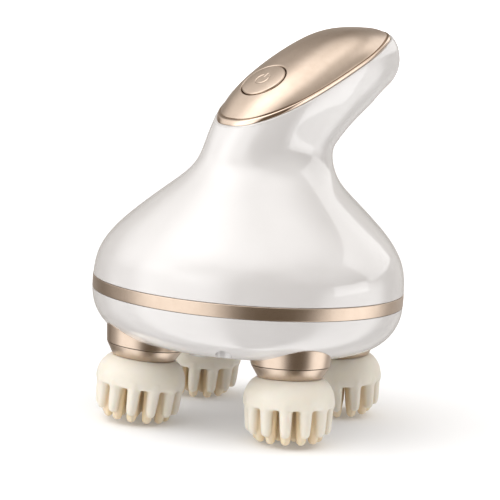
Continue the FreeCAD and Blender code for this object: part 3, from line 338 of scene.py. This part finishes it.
def mesh_from(name, points, faces):
    mesh = bpy.data.meshes.new(name)
    mesh.from_pydata([tuple(point) for point in points], [], faces)
    work = bmesh.new()
    work.from_mesh(mesh)
    bmesh.ops.recalc_face_normals(work, faces=work.faces)
    work.to_mesh(mesh)
    work.free()
    return mesh


def add_faces(work, points, faces):
    """Adds points and faces to a mesh in the making and gives back its new vertices."""
    vertices = [work.verts.new(point) for point in points]
    for face in faces:
        work.faces.new([vertices[index] for index in face])
    return vertices


def lathe_points(profile, segments):
    turn = np.arange(segments) * 2 * math.pi / segments
    rows = [np.stack([radius * np.cos(turn), radius * np.sin(turn), np.full(segments, height)], axis=1)
            for radius, height in profile]
    return np.concatenate(rows)


def rounded(corner, before, after, radius, steps=4):
    """Points of a profile's corner rounded between its two neighbours."""
    corner, before, after = (np.array(point, dtype=float) for point in (corner, before, after))
    back = (before - corner) / np.linalg.norm(before - corner)
    fore = (after - corner) / np.linalg.norm(after - corner)
    start = corner + back * radius
    end = corner + fore * radius
    shares = np.linspace(0, 1, steps + 1)
    return [tuple((1 - s) ** 2 * start + 2 * s * (1 - s) * corner + s ** 2 * end) for s in shares]


def rounded_profile(corners, radii):
    """Closed profile whose corners have the given radii."""
    points = []
    for index, (corner, radius) in enumerate(zip(corners, radii)):
        if radius:
            points += rounded(corner, corners[index - 1], corners[(index + 1) % len(corners)], radius)
        else:
            points.append(corner)
    return points


# Body surface of the dome, neck and handle

def body_sections(inset):
    """Sections from the band to the end of the handle, drawn in by the inset."""
    rise = NECK_HEIGHT - UPPER_BOTTOM
    sections = []
    for index in range(DOME_SECTIONS):
        share = index / DOME_SECTIONS
        fullness = (1 + math.cos(math.pi * share ** DOME_FULLNESS_POWER)) / 2
        half_depth = NECK[3] + (BASE_RADIUS - NECK[3]) * fullness
        half_width = NECK[4] + (BASE_RADIUS - NECK[4]) * fullness
        sections.append((NECK[0] * share ** DOME_SHIFT_POWER, UPPER_BOTTOM + rise * share,
                         NECK[2] * share ** DOME_LEAN_POWER, half_depth, half_width, ROUND_POWER, 0.0))
    sections += [NECK] + HANDLE
    sections = [(*row[:3], row[3] - inset, row[4] - inset, *row[5:]) for row in sections]
    forward, height, lean, half_depth, half_width, power, extra = sections[-1]
    for share in TIP_SHARES:
        shrink = tip_fullness(share) / tip_fullness(0)
        step = (TIP_LENGTH - inset / 2) * share
        sections.append((forward + step * math.sin(math.radians(lean)),
                         height + step * math.cos(math.radians(lean)), lean,
                         half_depth * shrink, half_width * shrink, power, extra * shrink))
    return sections


def tip_fullness(share):
    return math.sqrt(1 - ((share + TIP_ENTRY) / (1 + TIP_ENTRY)) ** 2)


def section_points(section):
    """One closed section: round underneath, flatter over the crown."""
    forward, height, lean, half_depth, half_width, power, extra = section
    turn = np.arange(BODY_COLUMNS) * 2 * math.pi / BODY_COLUMNS
    share = np.where(np.cos(turn) < -1e-9, 2 / power, 1.0)
    depth = np.sign(np.cos(turn)) * np.abs(np.cos(turn)) ** share
    depth *= np.where(depth > 0, half_depth + extra, half_depth)
    width = np.sign(np.sin(turn)) * np.abs(np.sin(turn)) ** share * half_width
    tilt = math.radians(lean)
    return np.stack([forward + depth * math.cos(tilt), width, height - depth * math.sin(tilt)], axis=1)


def spline(knots, values, samples):
    """Natural cubic spline through rows of points."""
    count = len(knots)
    steps = np.diff(knots)
    matrix = np.eye(count)
    change = np.zeros((count, values.shape[1]))
    for index in range(1, count - 1):
        before = steps[index - 1]
        after = steps[index]
        matrix[index, index - 1:index + 2] = (before, 2 * (before + after), after)
        change[index] = 6 * ((values[index + 1] - values[index]) / after
                             - (values[index] - values[index - 1]) / before)
    bend = np.linalg.solve(matrix, change)
    place = np.clip(np.searchsorted(knots, samples) - 1, 0, count - 2)
    step = steps[place][:, None]
    fore = (samples - knots[place])[:, None]
    back = step - fore
    return (bend[place] * back ** 3 / (6 * step) + bend[place + 1] * fore ** 3 / (6 * step)
            + (values[place] / step - bend[place] * step / 6) * back
            + (values[place + 1] / step - bend[place + 1] * step / 6) * fore)


def body_surface(inset):
    """Points and faces of the body surface, closed at the tip and drawn in by the inset."""
    sections = body_sections(inset)
    rings = np.array([section_points(section) for section in sections])
    chords = np.linalg.norm(np.diff(rings, axis=0), axis=2).mean(axis=1)
    knots = np.concatenate([[0], np.cumsum(chords)])
    start_of_tip = knots[-len(TIP_SHARES) - 1]
    samples = np.concatenate([np.linspace(0, start_of_tip, BODY_ROWS),
                              np.linspace(start_of_tip, knots[-1], TIP_ROWS)[1:]])
    points = spline(knots, rings.reshape(len(sections), -1), samples).reshape(-1, 3)
    rows = len(samples)
    faces = grid_faces(rows, BODY_COLUMNS)
    forward, height, lean = HANDLE[-1][:3]
    reach = TIP_LENGTH - inset / 2
    tip = (forward + reach * math.sin(math.radians(lean)), 0, height + reach * math.cos(math.radians(lean)))
    points = np.vstack([points, tip])
    last = (rows - 1) * BODY_COLUMNS
    for column in range(BODY_COLUMNS):
        faces.append((last + column, last + (column + 1) % BODY_COLUMNS, len(points) - 1))
    return points, faces


def tree_of(surface):
    return BVHTree.FromPolygons([tuple(point) for point in surface[0]], surface[1])


outer_body = body_surface(0)
outer_tree = tree_of(outer_body)
plate_tree = tree_of(body_surface(PLATE_INSET))

# Sloping joint of the handle: its outline on the body, with the way inward at each point
joint_along = np.array([math.cos(PARTING_SLOPE), 0, math.sin(PARTING_SLOPE)])
joint_side = np.array([0, 1.0, 0])
joint_up = np.array([-math.sin(PARTING_SLOPE), 0, math.cos(PARTING_SLOPE)])
joint_origin = np.array([0, 0, PARTING_HEIGHT])


def cast(tree, start, way):
    hit = tree.ray_cast(Vector(start), Vector(way))[0]
    return np.array(hit)


def joint_outline():
    middle = joint_origin + joint_along * OUTLINE_MIDDLE
    turns = np.arange(OUTLINE_RAYS) * 2 * math.pi / OUTLINE_RAYS
    loop = np.array([cast(outer_tree, middle, joint_along * math.cos(turn) + joint_side * math.sin(turn))
                     for turn in turns])
    closed = np.vstack([loop, loop[:1]])
    lengths = np.concatenate([[0], np.cumsum(np.linalg.norm(np.diff(closed, axis=0), axis=1))])
    places = np.arange(OUTLINE_POINTS) * lengths[-1] / OUTLINE_POINTS
    points = np.stack([np.interp(places, lengths, closed[:, axis]) for axis in range(3)], axis=1)
    along = np.roll(points, -OUTLINE_NEIGHBOUR, axis=0) - np.roll(points, OUTLINE_NEIGHBOUR, axis=0)
    inward = np.cross(joint_up, along)
    inward /= np.linalg.norm(inward, axis=1)[:, None]
    return points, inward


outline, inward = joint_outline()


def trace(tree, offset, inset=0.0):
    """Outline of a body where a plane parallel to the joint cuts it, moved inward by the inset."""
    rows = []
    for point, way in zip(outline, inward):
        rows.append(cast(tree, point + way * TRACE_INSIDE + joint_up * offset, -way) + way * inset)
    return np.array(rows)


# Upper shell: the body below the joint, with a rounded lip at the joint and at the band

def extrude_lip(work, edges, ways, up):
    """Rounds an open edge, carries it inward and back into the shell; ways gives the way inward."""
    profile = [(SHELL_LIP * (1 - math.cos(turn)), SHELL_LIP * math.sin(turn))
               for turn in np.linspace(0, math.pi / 2, 6)[1:]]
    profile += [(LIP_WIDTH, SHELL_LIP), (LIP_WALL, SHELL_LIP - LIP_DEPTH)]
    done = (0.0, 0.0)
    for inside, height in profile:
        made = bmesh.ops.extrude_edge_only(work, edges=edges)["geom"]
        edges = [item for item in made if isinstance(item, bmesh.types.BMEdge)]
        for vertex in {vertex for edge in edges for vertex in edge.verts}:
            way = ways(vertex.co)
            vertex.co += Vector(way) * (inside - done[0]) + Vector(up) * (height - done[1])
        done = (inside, height)


def make_upper_shell():
    work = bmesh.new()
    add_faces(work, *outer_body)
    bmesh.ops.bisect_plane(work, geom=work.verts[:] + work.edges[:] + work.faces[:],
                           plane_co=Vector(joint_origin - joint_up * SHELL_LIP), plane_no=Vector(joint_up),
                           clear_outer=True)
    bmesh.ops.bisect_plane(work, geom=work.verts[:] + work.edges[:] + work.faces[:],
                           plane_co=(0, 0, UPPER_BOTTOM + SHELL_LIP), plane_no=(0, 0, 1), clear_inner=True)
    bmesh.ops.dissolve_degenerate(work, dist=SHORTEST_EDGE, edges=work.edges[:])
    bmesh.ops.recalc_face_normals(work, faces=work.faces)
    open_edges = [edge for edge in work.edges if edge.is_boundary]
    low = UPPER_BOTTOM + SHELL_LIP + 1
    joint_edges = [edge for edge in open_edges if edge.verts[0].co.z > low]
    band_edges = [edge for edge in open_edges if edge.verts[0].co.z <= low]
    finder = KDTree(OUTLINE_POINTS)
    for index, point in enumerate(outline):
        finder.insert(point, index)
    finder.balance()
    extrude_lip(work, joint_edges, lambda point: inward[finder.find(point)[1]], joint_up)
    extrude_lip(work, band_edges, lambda point: Vector((-point.x, -point.y, 0)).normalized(), (0, 0, -1))
    for vertex in work.verts:
        vertex.co = to_frame(vertex.co)
    mesh = bpy.data.meshes.new("upper_shell_skin")
    bmesh.ops.recalc_face_normals(work, faces=work.faces)
    work.to_mesh(mesh)
    work.free()
    finish_piece("upper_shell_skin", mesh, "white_shell", "housing", ["upper_shell"])


make_upper_shell()

# Polished rim between the shell and the plate
rim_points = np.concatenate([trace(outer_tree, offset, inset) for offset, inset in RIM_PROFILE])
rim_faces = grid_faces(len(RIM_PROFILE), OUTLINE_POINTS, True)
finish_piece("plate_rim_bevel", mesh_from("plate_rim_bevel", to_frame(rim_points), rim_faces),
             "polished_gold", "housing", ["plate_rim"])

# Top plate, spread from the button's hole to the rounded edge over the rim
button_out = np.array([-math.sin(BUTTON_SLOPE), 0, math.cos(BUTTON_SLOPE)])
button_fore = np.array([math.cos(BUTTON_SLOPE), 0, math.sin(BUTTON_SLOPE)])
button_centre = cast(plate_tree, joint_origin + joint_along * BUTTON_ALONG, button_out)
spine = np.array([(row[0], 0, row[1]) for row in [NECK] + HANDLE])
spine = np.stack([np.interp(np.linspace(0, 1, SPINE_POINTS), np.linspace(0, 1, len(spine)), spine[:, axis])
                  for axis in range(3)], axis=1)


def from_button(turn):
    """Way out from the button's axis, square to it."""
    return button_fore * math.cos(turn) + joint_side * math.sin(turn)


def on_crown(turn, radius, depth=0.0):
    """Point under the plate's surface at a place about the button's axis."""
    above = button_centre + from_button(turn) * radius + button_out * CROWN_CAST
    return cast(plate_tree, above, -button_out) - button_out * depth


def make_top_plate():
    edge = trace(plate_tree, PLATE_EDGE_HEIGHT)
    turns = [math.atan2(np.dot(point - button_centre, joint_side), np.dot(point - button_centre, button_fore))
             for point in edge]
    flat_from = BUTTON_RADIUS + BUTTON_GAP + HOLE_ROUND
    rows = []
    for widen, depth in HOLE_EDGE:
        rows.append(np.array([on_crown(turn, flat_from, depth) - (HOLE_ROUND - widen) * from_button(turn)
                              for turn in turns]))
    start = np.array([on_crown(turn, flat_from) for turn in turns])
    rows.append(start)
    for share in np.linspace(0, 1, PLATE_LEVELS)[1:-1]:
        level = []
        for first, last in zip(start, edge):
            point = first + (last - first) * share
            root = spine[np.argmin(np.linalg.norm(spine - point, axis=1))]
            level.append(cast(plate_tree, root, point - root))
        rows.append(np.array(level))
    rows.append(edge)
    for offset, inset in PLATE_EDGE:
        rows.append(trace(plate_tree, offset, inset))
    mesh = mesh_from("top_plate_skin", to_frame(np.concatenate(rows)), grid_faces(len(rows), OUTLINE_POINTS))
    finish_piece("top_plate_skin", mesh, "satin_gold", "housing", ["top_plate"], sharp=50)


make_top_plate()


def mark_groove(turn, radius):
    """Depth of the on-off mark at a place on the button."""
    x = radius * math.cos(turn)
    y = radius * math.sin(turn)
    in_ring = abs(turn - math.pi) < math.pi - MARK_OPENING
    in_bar = MARK_BAR[0] < x < MARK_BAR[1]
    from_ring = abs(radius - MARK_RADIUS) if in_ring else BUTTON_RADIUS
    from_bar = abs(y) if in_bar else BUTTON_RADIUS
    line = min(from_ring, from_bar)
    return MARK_DEPTH * min(1.0, max(0.0, (MARK_HALF_WIDTH - line) / MARK_SLOPE))


def make_button():
    """Slightly raised disc with a rounded edge and a plain on-off mark pressed into it."""
    flat_radius = BUTTON_RADIUS - BUTTON_ROUND
    rows = [(radius, 0.0) for radius in np.linspace(BUTTON_INNERMOST, flat_radius, BUTTON_ROWS)]
    rows += [(BUTTON_RADIUS - BUTTON_ROUND * (1 - math.sin(turn)), BUTTON_ROUND * (1 - math.cos(turn)))
             for turn in np.linspace(0, math.pi / 2, 7)[1:]]
    rows += [(BUTTON_RADIUS, depth) for depth in BUTTON_SKIRT]
    points = []
    for radius, depth in rows:
        for index in range(BUTTON_SEGMENTS):
            turn = 2 * math.pi * index / BUTTON_SEGMENTS
            points.append(on_crown(turn, radius, depth + mark_groove(turn, radius) - BUTTON_RAISED))
    points.append(on_crown(0, 0, -BUTTON_RAISED))
    faces = grid_faces(len(rows), BUTTON_SEGMENTS)
    centre = len(points) - 1
    for index in range(BUTTON_SEGMENTS):
        faces.append((index, (index + 1) % BUTTON_SEGMENTS, centre))
    mesh = mesh_from("power_button_cap", to_frame(points), faces)
    finish_piece("power_button_cap", mesh, "satin_gold", "button", ["power_button"], sharp=60)


make_button()

# Band between the half shells
band_low = LOWER_TOP + BAND_GAP
band_high = UPPER_BOTTOM - BAND_GAP
band = rounded_profile([(BAND_INSIDE, band_low), (BAND_OUTSIDE, band_low), (BAND_OUTSIDE, band_high),
                        (BAND_INSIDE, band_high)], [0, BAND_ROUND, BAND_ROUND, 0])
band_points = to_frame(lathe_points(band, BAND_SEGMENTS))
band_mesh = mesh_from("trim_band_ring", band_points, grid_faces(len(band), BAND_SEGMENTS, True))
finish_piece("trim_band_ring", band_mesh, "satin_gold", "housing", ["trim_band"])


# Heads: fixed collar, turning ring and silicone with its fingers

def head_place(name):
    """Frame of a head: origin at its longest fingertips, X outward, Z along its shaft."""
    joint = joints[name + "_head_spin"]
    axis = Vector(joint["axis"]).normalized()
    gear = Vector(joint["pos_m"])
    outward = Vector((gear.x - base_x * MM, gear.y, 0))
    outward = (outward - axis * outward.dot(axis)).normalized()
    place = Matrix((outward, axis.cross(outward), axis)).transposed().to_4x4()
    place.translation = gear - axis * GEAR_ALONG * MM
    return place


def collar_top(place, turn, radius):
    """Height along the head's axis where the collar's side meets the underside of the base."""
    low = COLLAR_LOWEST_TOP
    high = COLLAR_HIGHEST_TOP
    corner = BASE_RADIUS - BASE_CORNER
    for _ in range(COLLAR_HALVINGS):
        middle = (low + high) / 2
        point = place @ (Vector((radius * math.cos(turn), radius * math.sin(turn), middle)) * MM) / MM
        reach = math.hypot(point.x - base_x, point.y)
        if reach < corner:
            outside = point.z < UNDERSIDE_HEIGHT
        else:
            outside = math.hypot(reach - corner, point.z - UNDERSIDE_HEIGHT - BASE_CORNER) > BASE_CORNER
        low, high = (middle, high) if outside else (low, middle)
    return low


def make_collar(name, place):
    """Flared collar from its rounded foot up to the underside of the base."""
    foot = rounded_profile(COLLAR_FOOT, [0, EDGE_ROUND, 0])[:-1]
    rows = [[(radius, height)] * HEAD_SEGMENTS for radius, height in foot]
    start = foot[-1]
    turns = [2 * math.pi * index / HEAD_SEGMENTS for index in range(HEAD_SEGMENTS)]
    tops = [collar_top(place, turn, COLLAR_MIDDLE_RADIUS) for turn in turns]
    for share in np.linspace(0, 1, COLLAR_LEVELS)[1:]:
        rows.append([(start[0] + COLLAR_FLARE * (top - start[1]) * share, start[1] + (top - start[1]) * share)
                     for top in tops])
    rows.append([(radius - COLLAR_TUCK_IN, top + COLLAR_TUCK_UP) for (radius, _), top in zip(rows[-1], tops)])
    points = [(radius * math.cos(turn) * MM, radius * math.sin(turn) * MM, height * MM)
              for row in rows for turn, (radius, height) in zip(turns, row)]
    mesh = mesh_from(name + "_collar_skirt", points, grid_faces(len(rows), HEAD_SEGMENTS))
    finish_piece(name + "_collar_skirt", mesh, "satin_gold", "housing", [name + "_collar"], place=place)


def make_ring(name, place):
    profile = rounded_profile(RING_CORNERS, [0, EDGE_ROUND, EDGE_ROUND, 0])
    points = lathe_points(profile, HEAD_SEGMENTS) * MM
    mesh = mesh_from(name + "_ring_cup", points, grid_faces(len(profile), HEAD_SEGMENTS, True))
    finish_piece(name + "_ring_cup", mesh, "satin_gold", name + "_head", [name + "_head_ring"], place=place)


def add_lathe(work, profile, segments, x=0.0, y=0.0):
    """Adds a closed turned form about an upright line."""
    points = lathe_points(profile, segments) + np.array([x, y, 0])
    vertices = add_faces(work, points, grid_faces(len(profile), segments))
    work.faces.new(vertices[:segments])
    work.faces.new(vertices[-segments:])


def add_finger(work, x, y, lift):
    """Bullet-shaped finger from inside the cap down to a round tip."""
    straight_from = lift + FINGER_TIP
    profile = [(FINGER_TIP * math.sin(turn), straight_from - FINGER_TIP * math.cos(turn))
               for turn in np.linspace(0.25, math.pi / 2, 6)]
    for share in np.linspace(0, 1, 7)[1:]:
        profile.append((FINGER_TIP + (FINGER_ROOT - FINGER_TIP) * share ** FINGER_TAPER,
                        straight_from + (FINGER_TOP - lift - FINGER_TIP) * share))
    profile += [(FINGER_ROOT + wider, height) for wider, height in FINGER_FLARE]
    add_lathe(work, profile, FINGER_SEGMENTS, x, y)


def circle_through(first, second, third):
    """Centre and radius of the circle through three points."""
    (ax, ay), (bx, by), (cx, cy) = first, second, third
    a = ax * ax + ay * ay
    b = bx * bx + by * by
    c = cx * cx + cy * cy
    d = 2 * (ax * (by - cy) + bx * (cy - ay) + cx * (ay - by))
    x = (a * (by - cy) + b * (cy - ay) + c * (ay - by)) / d
    y = (a * (cx - bx) + b * (ax - cx) + c * (bx - ax)) / d
    return (x, y), math.hypot(ax - x, ay - y)


def cap_profile():
    """Side of the silicone cap: flat underneath, a rounded rim and a round side up to the flat top."""
    rim_radius = CAP_RADIUS - CAP_RIM_ROUND
    rim_height = CAP_BOTTOM + CAP_RIM_ROUND
    profile = [(NEAR_AXIS, CAP_BOTTOM), (CAP_INNER_RADIUS, CAP_BOTTOM), (CAP_FLAT_RADIUS, CAP_BOTTOM)]
    profile += [(rim_radius + CAP_RIM_ROUND * math.sin(turn), rim_height - CAP_RIM_ROUND * math.cos(turn))
                for turn in np.linspace(0.2, 1.6, 7)]
    centre, radius = circle_through((CAP_RADIUS, CAP_SIDE_FROM), CAP_SIDE, (CAP_TOP_RADIUS, CAP_TOP))
    first = math.atan2(CAP_RIM_END - centre[1], CAP_RADIUS - centre[0])
    last = math.atan2(CAP_TOP - centre[1], CAP_TOP_RADIUS - centre[0])
    profile += [(centre[0] + radius * math.cos(turn), centre[1] + radius * math.sin(turn))
                for turn in np.linspace(first, last, 16)]
    return profile + [(CAP_INNER_RADIUS, CAP_TOP), (NEAR_AXIS, CAP_TOP)]


def make_head_mesh():
    """Silicone cap and fingers grown into one skin, with the depth between the fingers kept on it as the mask of
    painted shade.
    """
    work = bmesh.new()
    add_lathe(work, cap_profile(), CAP_SEGMENTS)
    add_finger(work, 0, 0, MIDDLE_FINGER_LIFT)
    for count, circle, lift in FINGER_RINGS:
        for index in range(count):
            turn = 2 * math.pi * index / count
            add_finger(work, circle * math.cos(turn), circle * math.sin(turn), lift)
    bmesh.ops.recalc_face_normals(work, faces=work.faces)
    for vertex in work.verts:
        vertex.co *= MM
    mesh = bpy.data.meshes.new("massage_head_skin")
    work.to_mesh(mesh)
    work.free()
    trial = bpy.data.objects.new("head_trial", mesh)
    scene.collection.objects.link(trial)
    remesh = trial.modifiers.new("grow", "REMESH")
    remesh.mode = "VOXEL"
    remesh.voxel_size = SILICONE_VOXEL * MM
    soften = trial.modifiers.new("soften", "SMOOTH")
    soften.factor = 0.5
    soften.iterations = 5
    bpy.context.view_layer.update()
    grown = bpy.data.meshes.new_from_object(trial.evaluated_get(bpy.context.evaluated_depsgraph_get()))
    bpy.data.objects.remove(trial)
    # Mask of painted golden shade: strongest inside the outer fingers and below the cap's underside
    gap_shade_values = grown.attributes.new("depth", "FLOAT", "POINT")
    for vertex, depth in zip(grown.vertices, gap_shade_values.data):
        reach = math.hypot(vertex.co.x, vertex.co.y) / MM
        inside = min(max((GAP_SHADE_FROM - reach) / GAP_SHADE_SPREAD, 0), 1)
        below = min(max(GAP_SHADE_TOP - vertex.co.z / MM, 0), 1)
        depth.value = GAP_SHADE_DEPTH * inside * below
    return grown


head_mesh = make_head_mesh()
for head in HEADS:
    place = head_place(head)
    make_collar(head, place)
    make_ring(head, place)
    finish_piece(head + "_finger_head", head_mesh.copy(), "silicone", head + "_head",
                 [head + "_massage_head"], sharp=180, place=place)


# Camera, with lengths of the studio in metres
VIEW_AZIMUTH = math.radians(-43.0)
VIEW_ELEVATION = math.radians(7.55)
VIEW_ROLL = math.radians(4.0)
VIEW_DISTANCE = 0.723
TARGET_HEIGHT = 0.0682
TARGET_RIGHT = -0.0003
LENS = 129.6
SENSOR = 36.0

view_right = Vector((math.cos(VIEW_AZIMUTH), math.sin(VIEW_AZIMUTH), 0))
view_fore = Vector((math.sin(VIEW_AZIMUTH), -math.cos(VIEW_AZIMUTH), 0))
view_back = view_fore * math.cos(VIEW_ELEVATION) + Vector((0, 0, math.sin(VIEW_ELEVATION)))
target = Vector((base_x * MM, 0, TARGET_HEIGHT)) + view_right * TARGET_RIGHT
camera_data = bpy.data.cameras.new("camera")
camera_data.lens = LENS
camera_data.sensor_width = SENSOR
camera = bpy.data.objects.new("camera", camera_data)
camera.rotation_mode = "QUATERNION"
camera.location = target + view_back * VIEW_DISTANCE
camera.rotation_quaternion = (-view_back).to_track_quat("-Z", "Y") @ Quaternion((0, 0, 1), VIEW_ROLL)
scene.collection.objects.link(camera)
scene.camera = camera


# Floor and backdrop
STAGE_SEGMENTS = 64
FLOOR_PROFILE = [(0.00001, 0), (0.5, 0), (3.0, 0)]
WALL_PROFILE = [(2.98, -0.01), (3.0, 1.0), (3.0, 4.0)]
FLOOR_GLOW = 0.12
WALL_GLOW = 0.9


def make_stage(name, profile, glow):
    """Round floor or wall of the plain studio."""
    points = lathe_points(profile, STAGE_SEGMENTS)
    mesh = mesh_from(name, points, grid_faces(len(profile), STAGE_SEGMENTS))
    stage = bpy.data.objects.new(name, mesh)
    scene.collection.objects.link(stage)
    material, tree, shader = new_material(name, (0.9, 0.9, 0.9), 0.8)
    vary_color(tree, shader, noise(tree, 3), (0.88, 0.89, 0.905), (0.90, 0.91, 0.925))
    shader.inputs["Specular IOR Level"].default_value = 0.0
    shader.inputs["Emission Color"].default_value = (1, 1, 1, 1)
    shader.inputs["Emission Strength"].default_value = glow
    mesh.materials.append(material)
    stage.visible_glossy = False
    return stage


make_stage("floor", FLOOR_PROFILE, FLOOR_GLOW)
wall = make_stage("backdrop", WALL_PROFILE, WALL_GLOW)
wall.visible_diffuse = False
wall.visible_shadow = False


# Light: a sky of soft panels round the object and above it, a dim warm room and two windows to the right
# Side panels: azimuth, half angles of full light and of its edge, strength, heights where it fades and ends
SIDE_PANELS = [
    (-100, 5, 32, 0.35, 0.25, 0.8),
    (-52, 16, 46, 1.4, 0.25, 0.8),
    (84, 8, 38, 1.5, 0.0, 0.35),
    (130, 8, 38, 0.3, 0.25, 0.8),
    (180, 10, 55, 0.3, 0.25, 0.8),
]
# Round panels: azimuth, elevation, half angles of full light and of its edge, strength
ROUND_PANELS = [
    (-105, 50, 6, 46, 0.85),
    (-52, 52, 8, 48, 0.95),
    (70, 54, 8, 42, 0.6),
    (125, 52, 6, 42, 0.3),
    (-60, 84, 10, 46, 0.9),
]
ROOM_COLOR = (1.0, 0.80, 0.60, 1)
ROOM_STRENGTH = 0.16
WINDOW_DISTANCE = 1.3


def direction(azimuth, elevation):
    """Direction as seen from the object: azimuth to the camera's right, elevation above the horizon."""
    turn = math.radians(azimuth)
    rise = math.radians(elevation)
    level = view_right * math.sin(turn) + view_fore * math.cos(turn)
    return level * math.cos(rise) + Vector((0, 0, math.sin(rise)))


world = bpy.data.worlds.new("studio")
world.use_nodes = True
sky = world.node_tree


def sky_vector(operation, first, second=None):
    node = sky.nodes.new("ShaderNodeVectorMath")
    node.operation = operation
    sky.links.new(first, node.inputs[0])
    if second is not None:
        node.inputs[1].default_value = second
    return node.outputs["Value" if operation == "DOT_PRODUCT" else "Vector"]


def sky_fade(source, low, high, start, end):
    """Smooth step of a value from one level to another."""
    node = sky.nodes.new("ShaderNodeMapRange")
    node.interpolation_type = "SMOOTHSTEP"
    sky.links.new(source, node.inputs["Value"])
    for name, value in (("From Min", low), ("From Max", high), ("To Min", start), ("To Max", end)):
        node.inputs[name].default_value = value
    return node.outputs["Result"]


def sky_math(operation, first, second):
    node = sky.nodes.new("ShaderNodeMath")
    node.operation = operation
    sky.links.new(first, node.inputs[0])
    sky.links.new(second, node.inputs[1])
    return node.outputs["Value"]


def cosine(angle):
    return math.cos(math.radians(angle))


sky_direction = sky.nodes.new("ShaderNodeTexCoord").outputs["Generated"]
flat_direction = sky_vector("NORMALIZE", sky_vector("MULTIPLY", sky_direction, (1, 1, 0)))
sky_height = sky_vector("DOT_PRODUCT", sky_direction, (0, 0, 1))


def side_panel(azimuth, full, edge, strength, top, end):
    """Upright panel round an azimuth that fades out above the top height."""
    across = sky_vector("DOT_PRODUCT", flat_direction, direction(azimuth, 0))
    across = sky_fade(across, cosine(edge), cosine(full), 0.0, strength)
    return sky_math("MULTIPLY", across, sky_fade(sky_height, top, end, 1.0, 0.0))


def round_panel(azimuth, elevation, full, edge, strength):
    centre = sky_vector("DOT_PRODUCT", sky_direction, direction(azimuth, elevation))
    return sky_fade(centre, cosine(edge), cosine(full), 0.0, strength)


panels = [side_panel(*panel) for panel in SIDE_PANELS] + [round_panel(*panel) for panel in ROUND_PANELS]
total = panels[0]
for panel in panels[1:]:
    total = sky_math("ADD", total, panel)
panel_light = sky.nodes["Background"]
panel_light.inputs["Color"].default_value = (1, 1, 1, 1)
sky.links.new(total, panel_light.inputs["Strength"])
room_light = sky.nodes.new("ShaderNodeBackground")
room_light.inputs["Color"].default_value = ROOM_COLOR
room_light.inputs["Strength"].default_value = ROOM_STRENGTH
sum_light = sky.nodes.new("ShaderNodeAddShader")
sky.links.new(panel_light.outputs["Background"], sum_light.inputs[0])
sky.links.new(room_light.outputs["Background"], sum_light.inputs[1])
sky.links.new(sum_light.outputs["Shader"], sky.nodes["World Output"].inputs["Surface"])
scene.world = world
scene.view_settings.view_transform = "Standard"


def add_window(name, azimuth, elevation, width, tall, power):
    """Softbox with a crisp edge."""
    data = bpy.data.lights.new(name, "AREA")
    data.shape = "RECTANGLE"
    data.size = width
    data.size_y = tall
    data.energy = power
    light = bpy.data.objects.new(name, data)
    light.location = target + direction(azimuth, elevation) * WINDOW_DISTANCE
    light.rotation_mode = "QUATERNION"
    light.rotation_quaternion = (target - light.location).to_track_quat("-Z", "Y")
    light.visible_camera = False
    scene.collection.objects.link(light)


add_window("high_window", azimuth=121, elevation=30, width=1.0, tall=0.75, power=1.9)
add_window("low_window", azimuth=80, elevation=9, width=0.75, tall=0.3, power=0.75)
